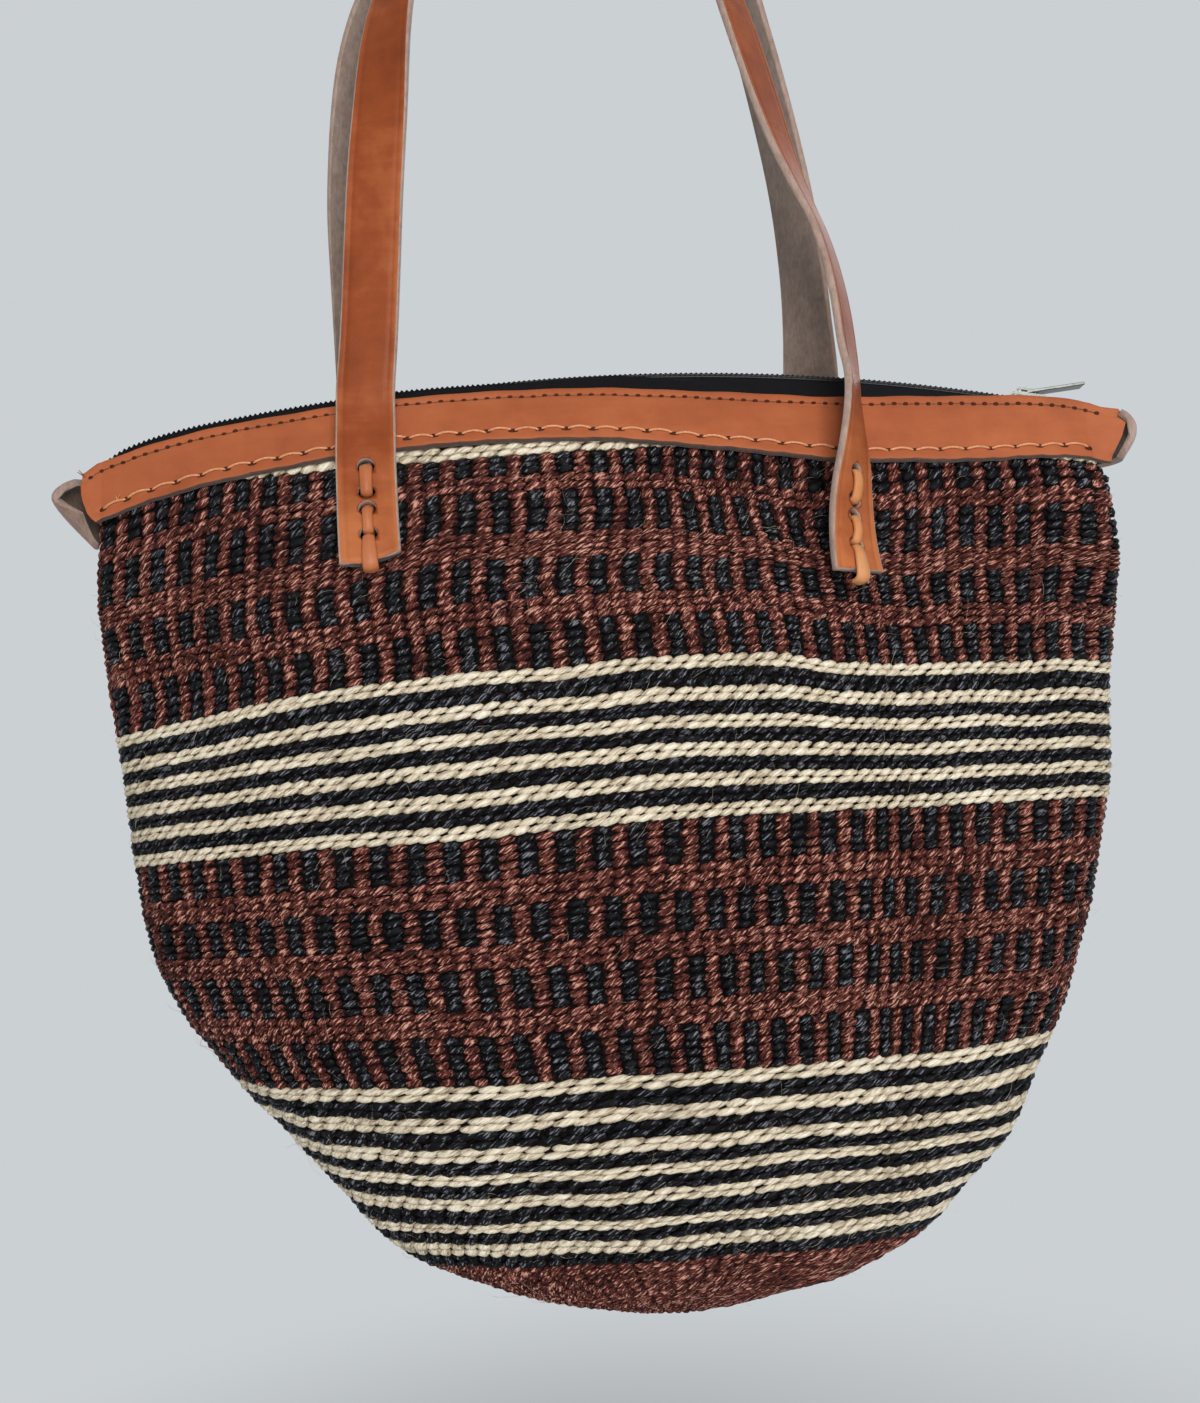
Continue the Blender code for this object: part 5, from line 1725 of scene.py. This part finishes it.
@dataclass(frozen=True)
class StrapLine:
    """Where one strap runs, from its left laced end over the crown to its right one."""

    side: int
    feet: tuple[Foot, Foot]
    drops: tuple
    shares: tuple
    turns: tuple
    hinge: float = 0.2170
    leg_front: float = 0.0171
    crown_front: float = 0.01145
    reach: float = 0.100
    stations: int = 224
    band_standoff: float = 0.0063
    weave_standoff: float = 0.0047
    standoff_fall: float = 0.0150
    lean: float = 0.05
    softening: float = 0.0016
    gap: float = 0.0006
    half_width: float = 0.01075
    band_gap: float = 0.0043
    weave_gap: float = 0.0022
    hinge_ease: float = 0.0090
    hinge_free: float = -0.2440

    def loop(self) -> tuple[Array, Array]:
        """Points and turns of the free loop, left to right."""
        steps = np.arange(len(self.drops))
        at = np.linspace(0.0, len(self.drops) - 1.0, self.stations + 1)
        drop = through(steps, self.drops, at)
        x = self.reach * through(steps, self.shares, at)
        share = np.clip(drop, 0.0, 1.0)
        y = self.side * (self.crown_front + (self.leg_front - self.crown_front) * share ** 0.7)
        return np.stack((x, y, -self.hinge * drop), axis=-1), through(steps, self.turns, at)

    def end(self, number: int, length: float) -> tuple[Array, Array]:
        """Points and turns of a laced end, from the hinge down, clear of the basket at both edges.

        Args:
            number: 0 for the left end, 1 for the right.
            length: How far it falls.

        Returns:
            The points and the turns.
        """
        count = 84
        foot = self.feet[number]
        x_start = self.reach * self.shares[-number]
        share = np.arange(count + 1) / count
        fall = length * share
        z = -self.hinge - self.gap - fall
        x = x_start - math.copysign(1.0, x_start) * self.lean * fall * share + through(foot.falls, foot.shifts, fall)
        turn = through(foot.falls, foot.turns, fall)
        below = np.clip((LEATHER.edge(x, FORM) - LEATHER.height(x, FORM) - z) / self.standoff_fall, 0.0, 1.0)
        follow = FORM.depth_on(x, z) + self.band_standoff + (self.weave_standoff - self.band_standoff) * below
        room = self.band_gap + (self.weave_gap - self.band_gap) * below
        above = np.clip((z - LEATHER.edge(x, FORM)) / 0.010, 0.0, 1.0)
        for way in (-1, 1):
            lean = way * np.radians(turn) * (1 if number else -1)
            edge = x + way * self.half_width * np.cos(lean)
            stand = FORM.depth_on(edge, z) + room + self.half_width * np.sin(lean)
            follow = np.maximum(follow, stand - self.hinge_ease * above)
        gap = self.leg_front - follow
        y = (self.leg_front + follow + np.sqrt(gap * gap + self.softening ** 2)) / 2
        y[0] = min(y[0], self.leg_front)
        for _ in range(40):
            y[1:-1] = (y[1:-1] * 2 + y[:-2] + y[2:]) / 4
        return np.stack((x, self.side * y, z), axis=-1), turn


class Run:
    """A line of points with the way a strip faces at each, read by length."""

    def __init__(self, points: Array, turns: Array, side: int) -> None:
        """Work out lengths, directions and faces."""
        self.points = points
        self.lengths = np.concatenate(((0.0,), np.cumsum(np.linalg.norm(np.diff(points, axis=0), axis=1))))
        run = unit(np.gradient(points, axis=0))
        turn = np.radians(turns)[:, None]
        flat = unit(np.stack((-run[:, 2], np.zeros(len(run)), run[:, 0]), axis=-1))
        face = np.array((0.0, side, 0.0)) * np.cos(turn) + flat * np.sin(turn)
        self.run = run
        self.face = unit(face - run * np.sum(face * run, axis=1, keepdims=True))

    def at(self, length: Array) -> tuple[Array, Array, Array, Array]:
        """Place, run, face and across at lengths along the line."""
        length = np.asarray(length, float)

        def read(table: Array) -> Array:
            """One table at those lengths, carried on straight past the ends."""
            return np.stack([np.interp(length, self.lengths, table[:, k]) for k in range(3)], axis=-1)

        place = read(self.points)
        run = unit(read(self.run))
        past = np.maximum(length - self.lengths[-1], 0.0) + np.minimum(length, 0.0)
        place = place + run * past[..., None]
        face = unit(read(self.face))
        face = unit(face - run * np.sum(face * run, axis=-1, keepdims=True))
        return place, run, face, unit(np.cross(run, face))


@dataclass
class Strap:
    """A strap of thick hide, laced to the basket at both ends."""

    line: StrapLine
    word: str
    width: float = 0.0215
    thickness: float = 0.0026
    edge_round: float = 0.0007
    tool_line: float = 0.80
    step: float = 0.0021
    hole_radius: float = 0.0031
    pair_pitch: float = 0.0103
    pair_space: float = 0.0070
    left_start: float = 0.0315
    right_start: float = 0.0475
    end_margin: float = 0.0095
    lace_width: float = 0.0047
    lace_thickness: float = 0.0018
    bend_from: float = -0.2235
    bend_to: float = -0.2095

    def end_length(self, start: float) -> float:
        """Length of a laced end below the hinge."""
        return start + 2 * self.pair_pitch + self.pair_space + self.end_margin

    def hole_places(self, start: float) -> tuple[float, float, float, float]:
        """Lengths of the four holes from the hinge."""
        second = start + self.pair_pitch
        third = second + self.pair_space
        return start, second, third, third + self.pair_pitch

    def ends(self) -> tuple[Run, Run]:
        """The left and right laced ends as their own runs, going down."""
        line = self.line
        made = []
        for number, start in enumerate((self.left_start, self.right_start)):
            points, turns = line.end(number, self.end_length(start) + 0.0125)
            made.append(Run(points, turns, line.side))
        return made[0], made[1]

    def whole(self) -> Run:
        """The strap as one run, from the foot of its left end to the foot of its right end."""
        line = self.line
        loop_points, loop_turns = line.loop()
        left, right = self.ends()
        pieces = []
        turns = []
        for run, start, flip in ((left, self.left_start, True), (right, self.right_start, False)):
            lengths = np.linspace(0.001, self.end_length(start), 60)
            place, _, face, _ = run.at(lengths)
            sign = -1.0 if flip else 1.0
            turn = np.degrees(np.arctan2(face[:, 0], line.side * face[:, 1])) * sign
            pieces.append(place[::-1] if flip else place)
            turns.append(turn[::-1] if flip else turn)
        points = np.concatenate((pieces[0], loop_points, pieces[1]))
        facing = np.concatenate((turns[0], loop_turns, turns[1]))
        free = points[1:-1, 2:3] > self.line.hinge_free
        for k in range(70):
            softer = (points[1:-1] * 2 + points[:-2] + points[2:]) / 4
            points[1:-1, 1:2] = np.where(free, softer[:, 1:2], points[1:-1, 1:2])
            if k < 10:
                points[1:-1] = np.where(free, softer, points[1:-1])
            facing[1:-1] = (facing[1:-1] * 2 + facing[:-2] + facing[2:]) / 4
        return Run(points, facing, line.side)

    def strip(self, paints: Sequence[Paint]) -> bpy.types.Object:
        """The strap's leather, with its tooled lines, edges lightened by wear and lower ends lightened as painted
        light.
        """
        run = self.whole()
        count = int(run.lengths[-1] / self.step)
        lengths = np.linspace(0.0, run.lengths[-1], count + 1)
        place, way, face, across = run.at(lengths)
        for _ in range(6):
            face[1:-1] = unit(face[1:-1] * 2 + face[:-2] + face[2:])
        face = unit(face - way * np.sum(face * way, axis=1, keepdims=True))
        across = unit(np.cross(way, face))
        section = Section.of_strip(self.width, self.thickness, self.edge_round, (self.tool_line,), crown=0.00012,
                                   steps=10)
        left, right = self.line.feet

        def ends(k: Array, aside: Array) -> Array:
            """How far the two cut ends reach past square."""
            share = aside / (self.width / 2)
            first = np.interp(share, left.cut_places, left.cut_reach) * np.clip(1 - k / 4, 0.0, 1.0)
            last = np.interp(-share, right.cut_places, right.cut_reach) * np.clip(1 - (count - k) / 4, 0.0, 1.0)
            return last - first

        made = swept(f"strap_{self.word}", section, place, across, face, paints, ends)
        co = np.zeros(len(made.data.vertices) * 3, np.float32)
        made.data.vertices.foreach_get("co", co)
        co = co.reshape(-1, 3)
        near = np.argmin(np.linalg.norm(co[:, None, :] - place[None, ::4, :], axis=2), axis=1) * 4
        aside = np.abs(np.sum((co - place[near]) * across[near], axis=1)) / (self.width / 2)
        # Painted light: the strap grows lighter below its bend towards the lacing; its edges grow lighter with wear.
        foot = np.clip((self.bend_from - co[:, 2]) / 0.05, 0.0, 1.0)
        keep_numbers(made, "wear_and_light", np.clip((aside - 0.72) / 0.28, 0.0, 1.0) * 0.4 + foot * 0.7)
        return made

    def punched(self, strip: bpy.types.Object) -> bpy.types.Object:
        """Cut the lacing holes through a strap."""
        bm = bmesh.new()
        for run, start in zip(self.ends(), (self.left_start, self.right_start)):
            for length in self.hole_places(start):
                place, _, face, _ = run.at(np.array((length,)))
                turn = Vector((0.0, 0.0, 1.0)).rotation_difference(Vector(face[0])).to_matrix().to_4x4()
                bmesh.ops.create_cone(bm, cap_ends=True, segments=28, radius1=self.hole_radius,
                                      radius2=self.hole_radius, depth=4 * self.thickness,
                                      matrix=Matrix.Translation(Vector(place[0])) @ turn)
        punch = finished("punch", bm, ())
        for look in strip.data.materials:
            punch.data.materials.append(look)
        punch.data.polygons.foreach_set("material_index", np.ones(len(punch.data.polygons), np.int32))
        cut = strip.modifiers.new("holes", "BOOLEAN")
        cut.object = punch
        cut.solver = "EXACT"
        bpy.context.view_layer.update()
        mesh = bpy.data.meshes.new_from_object(strip.evaluated_get(bpy.context.evaluated_depsgraph_get()))
        strip.modifiers.clear()
        strip.data = mesh
        bpy.data.objects.remove(punch)
        return strip

    def lace_line(self, start: float, end: float) -> tuple[Array, Array]:
        """Lengths along the strap and heights off it of a lace's middle."""
        first, second, third, fourth = self.hole_places(start)
        back = -0.0026
        rise = 0.0012
        high = 0.0022
        proud = 0.0026
        line = ((first + 0.0006, back + 0.0007), (first + 0.0006, rise), (first + 0.0022, high),
                ((first + second) / 2, proud), (second - 0.0014, high), (second + 0.0004, rise),
                (second + 0.0004, -rise), (second + 0.0015, back), (third - 0.0010, back),
                (third + 0.0006, -rise), (third + 0.0006, rise), (third + 0.0022, high),
                ((third + fourth) / 2, proud), (fourth - 0.0032, high), (fourth - 0.0014, rise),
                (fourth - 0.0014, -rise), (fourth - 0.00065, back), (fourth + 0.00065, back),
                (fourth + 0.0014, -rise), (fourth + 0.0014, rise), (fourth + 0.0030, high),
                ((fourth + end) / 2 + 0.001, proud), (end + 0.0014, high + 0.0002), (end + 0.0034, rise),
                (end + 0.0036, -rise))
        at = np.linspace(0.0, len(line) - 1.0, 150)
        steps = np.arange(len(line))
        return through(steps, [p[0] for p in line], at), through(steps, [p[1] for p in line], at)

    def lace(self, name: str, run: Run, start: float, paints: Sequence[Paint]) -> bpy.types.Object:
        """One lace through four holes and over the strap's end."""
        end = self.end_length(start)
        lengths, heights = self.lace_line(start, end)
        place, way, face, across = run.at(lengths)
        places = place + face * heights[:, None]
        along = unit(np.gradient(places, axis=0))
        out = unit(np.cross(across, along))
        first, second, third, fourth = self.hole_places(start)
        broad = through((first, second, third, (third + fourth) / 2, fourth, end, end + 0.004),
                        (1.0, 0.92, 0.85, 0.76, 0.85, 1.14, 1.2), lengths)
        section = Section.of_strip(self.lace_width, self.lace_thickness, 0.0009, crown=0.0004, steps=6)
        made = swept(name, section, places, across * broad[:, None], out, paints)
        keep_numbers(made, "wear_and_light", np.full(len(made.data.vertices), 0.3))
        return made

    def build(self, palette: Palette) -> None:
        """Make the strap and its two laces."""
        strip = self.punched(self.strip(palette.strap))
        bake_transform(strip)
        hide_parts(f"strap_loop_{self.word}", f"strap_end_{self.word}_left", f"strap_end_{self.word}_right")
        log.info("%s bends between the basket and its own body", strip.name)
        looks = (palette.lace, palette.pale_lace)
        for run, start, way, paints in zip(self.ends(), (self.left_start, self.right_start), ("left", "right"), looks):
            name = f"lace_{self.word}_{way}"
            made = self.lace(f"{name}_leather", run, start, paints)
            settled(made, "basket", "lace_leather", name)


FRONT_LEFT = Foot((4.0, 6.0), cut_places=(-1.0, -0.29, 0.35, 1.0), cut_reach=(0.0008, 0.0022, 0.0008, -0.0022))
FRONT_RIGHT = Foot((63.0, 61.5, 59.0, 52.5, 43.0, 35.0, 31.0, 29.0),
                   (0.0, 0.0121, 0.0242, 0.0363, 0.0484, 0.0605, 0.0726, 0.085),
                   (0.0, -0.0004, -0.0014, -0.0027, -0.0042, -0.0049, -0.0045, -0.0028))
FRONT_LINE = StrapLine(
    FRONT, (FRONT_LEFT, FRONT_RIGHT),
    (1.0, 0.9, 0.77, 0.645, 0.516, 0.323, 0.161, 0.0415, -0.006, 0.0415, 0.161, 0.355, 0.5, 0.613, 0.7, 0.756,
     0.82, 0.9, 1.0),
    (-0.822, -0.80, -0.778, -0.757, -0.728, -0.672, -0.53, -0.30, 0.0, 0.28, 0.48, 0.61, 0.690, 0.755, 0.82,
     0.868, 0.905, 0.932, 0.945),
    (4.0, 4.0, 4.0, 4.0, 10.0, 32.0, 62.0, 84.0, 90.0, 84.0, 64.0, 50.0, 52.0, 57.0, 65.0, 66.5, 66.0, 66.0, 63.0))
BACK_LINE = StrapLine(
    BACK, (Foot((4.0, 6.0)), Foot((10.0, 6.0))),
    (1.0, 0.9, 0.75, 0.58, 0.345, 0.18, 0.055, -0.006, 0.055, 0.18, 0.345, 0.58, 0.75, 0.9, 1.0),
    (-0.88, -0.88, -0.885, -0.885, -0.83, -0.68, -0.37, 0.0, 0.34, 0.62, 0.716, 0.81, 0.85, 0.86, 0.86),
    (4.0, 10.0, 20.0, 30.0, 48.0, 70.0, 86.0, 90.0, 86.0, 72.0, 62.0, 58.0, 50.0, 40.0, 10.0))


# ---------------------------------------------------------------- studio


@dataclass
class Studio:
    """Camera, soft lamps, and a pale floor that fades into the background."""

    image: tuple[int, int] = (1200, 1403)
    focal_pixels: float = 1351.0
    camera_at: tuple[float, float, float] = (-0.003, -0.500, -0.370)
    pitch: float = 4.15
    roll: float = 3.17
    paper: Colour = (0.60, 0.63, 0.655)
    floor_height: float = -0.72
    floor_half: float = 1.6

    def camera(self) -> None:
        """Stand the camera where the picture was taken."""
        data = bpy.data.cameras.new("view")
        data.sensor_fit = "VERTICAL"
        data.sensor_height = 36.0
        data.lens = data.sensor_height * self.focal_pixels / self.image[1]
        data.clip_start = 0.01
        data.dof.use_dof = False
        obj = bpy.data.objects.new("view", data)
        bpy.context.scene.collection.objects.link(obj)
        tilt = Matrix.Rotation(math.radians(90.0 + self.pitch), 4, "X")
        lean = Matrix.Rotation(math.radians(-self.roll), 4, "Z")
        obj.matrix_world = Matrix.Translation(self.camera_at) @ tilt @ lean
        bpy.context.scene.camera = obj

    def lamp(self, name: str, at: tuple, aim: tuple, size: float, watts: float, colour: Colour) -> None:
        """A soft square lamp."""
        data = bpy.data.lights.new(name, "AREA")
        data.shape = "SQUARE"
        data.size = size
        data.energy = watts
        data.color = colour
        obj = bpy.data.objects.new(name, data)
        bpy.context.scene.collection.objects.link(obj)
        way = Vector(aim) - Vector(at)
        obj.matrix_world = Matrix.Translation(at) @ way.to_track_quat("-Z", "Y").to_matrix().to_4x4()

    def world(self) -> None:
        """Pale light from all round, seen by the camera as plain paper."""
        world = bpy.data.worlds.new("studio")
        world.use_nodes = True
        tree = world.node_tree
        tree.nodes.clear()
        out = tree.nodes.new("ShaderNodeOutputWorld")
        light = tree.nodes.new("ShaderNodeBackground")
        light.inputs["Color"].default_value = (0.93, 0.96, 1.0, 1.0)
        light.inputs["Strength"].default_value = 0.24
        seen = tree.nodes.new("ShaderNodeBackground")
        seen.inputs["Color"].default_value = (*self.paper, 1.0)
        seen.inputs["Strength"].default_value = 1.0
        path = tree.nodes.new("ShaderNodeLightPath")
        mix = tree.nodes.new("ShaderNodeMixShader")
        factor = path.outputs["Is Camera Ray"]
        for ray in ("Is Glossy Ray", "Is Transmission Ray"):
            either = tree.nodes.new("ShaderNodeMath")
            either.operation = "MAXIMUM"
            tree.links.new(factor, either.inputs[0])
            tree.links.new(path.outputs[ray], either.inputs[1])
            factor = either.outputs[0]
        tree.links.new(factor, mix.inputs[0])
        tree.links.new(light.outputs[0], mix.inputs[1])
        tree.links.new(seen.outputs[0], mix.inputs[2])
        tree.links.new(mix.outputs[0], out.inputs["Surface"])
        bpy.context.scene.world = world

    def floor(self) -> None:
        """The pale floor below the hanging basket, which turns into plain paper further out."""
        bm = bmesh.new()
        bmesh.ops.create_grid(bm, x_segments=8, y_segments=8, size=self.floor_half)
        bmesh.ops.translate(bm, verts=bm.verts, vec=(0.0, 0.0, self.floor_height))
        material = bpy.data.materials.new("paper_floor")
        material.use_nodes = True
        tree = material.node_tree
        shader = tree.nodes["Principled BSDF"]
        shader.inputs["Base Color"].default_value = (*self.paper, 1.0)
        shader.inputs["Roughness"].default_value = 0.9
        glow = tree.nodes.new("ShaderNodeEmission")
        glow.inputs["Color"].default_value = (*self.paper, 1.0)
        place = tree.nodes.new("ShaderNodeTexCoord")
        size = tree.nodes.new("ShaderNodeVectorMath")
        size.operation = "LENGTH"
        drop = tree.nodes.new("ShaderNodeVectorMath")
        drop.operation = "MULTIPLY"
        drop.inputs[1].default_value = (1.0, 1.0, 0.0)
        fade = tree.nodes.new("ShaderNodeMapRange")
        fade.interpolation_type = "SMOOTHSTEP"
        fade.inputs["From Min"].default_value = 0.12
        fade.inputs["From Max"].default_value = 0.55
        mix = tree.nodes.new("ShaderNodeMixShader")
        tree.links.new(place.outputs["Object"], drop.inputs[0])
        tree.links.new(drop.outputs[0], size.inputs[0])
        tree.links.new(size.outputs["Value"], fade.inputs["Value"])
        tree.links.new(fade.outputs[0], mix.inputs[0])
        tree.links.new(shader.outputs[0], mix.inputs[1])
        tree.links.new(glow.outputs[0], mix.inputs[2])
        tree.links.new(mix.outputs[0], tree.nodes["Material Output"].inputs["Surface"])
        mesh = bpy.data.meshes.new("floor")
        bm.to_mesh(mesh)
        bm.free()
        mesh.materials.append(material)
        obj = bpy.data.objects.new("floor", mesh)
        bpy.context.scene.collection.objects.link(obj)

    def build(self) -> None:
        """Set the studio up."""
        self.camera()
        self.world()
        self.floor()
        middle = (0.0, 0.0, -0.38)
        self.lamp("window", (0.24, -1.20, 0.06), middle, 0.7, 11.5, (1.0, 0.985, 0.965))
        self.lamp("room", (0.10, -1.10, -0.85), middle, 1.2, 14.0, (0.99, 0.99, 1.0))
        self.lamp("behind", (0.3, 1.4, 0.3), middle, 1.2, 10.0, (1.0, 1.0, 1.0))
        bpy.context.scene.view_settings.view_transform = "Standard"


def main() -> None:
    """Build the basket, its leather, its zip and its straps, and light them."""
    logging.basicConfig(level=logging.INFO, format="%(message)s")
    Studio().build()
    palette = Palette()
    Weave(WeaveSurface(FORM)).build(palette)
    RimLeather().build(palette)
    Ears().build(palette)
    Zip().build(palette)
    Strap(FRONT_LINE, "front").build(palette)
    Strap(BACK_LINE, "back").build(palette)


if __name__ == "__main__":
    main()
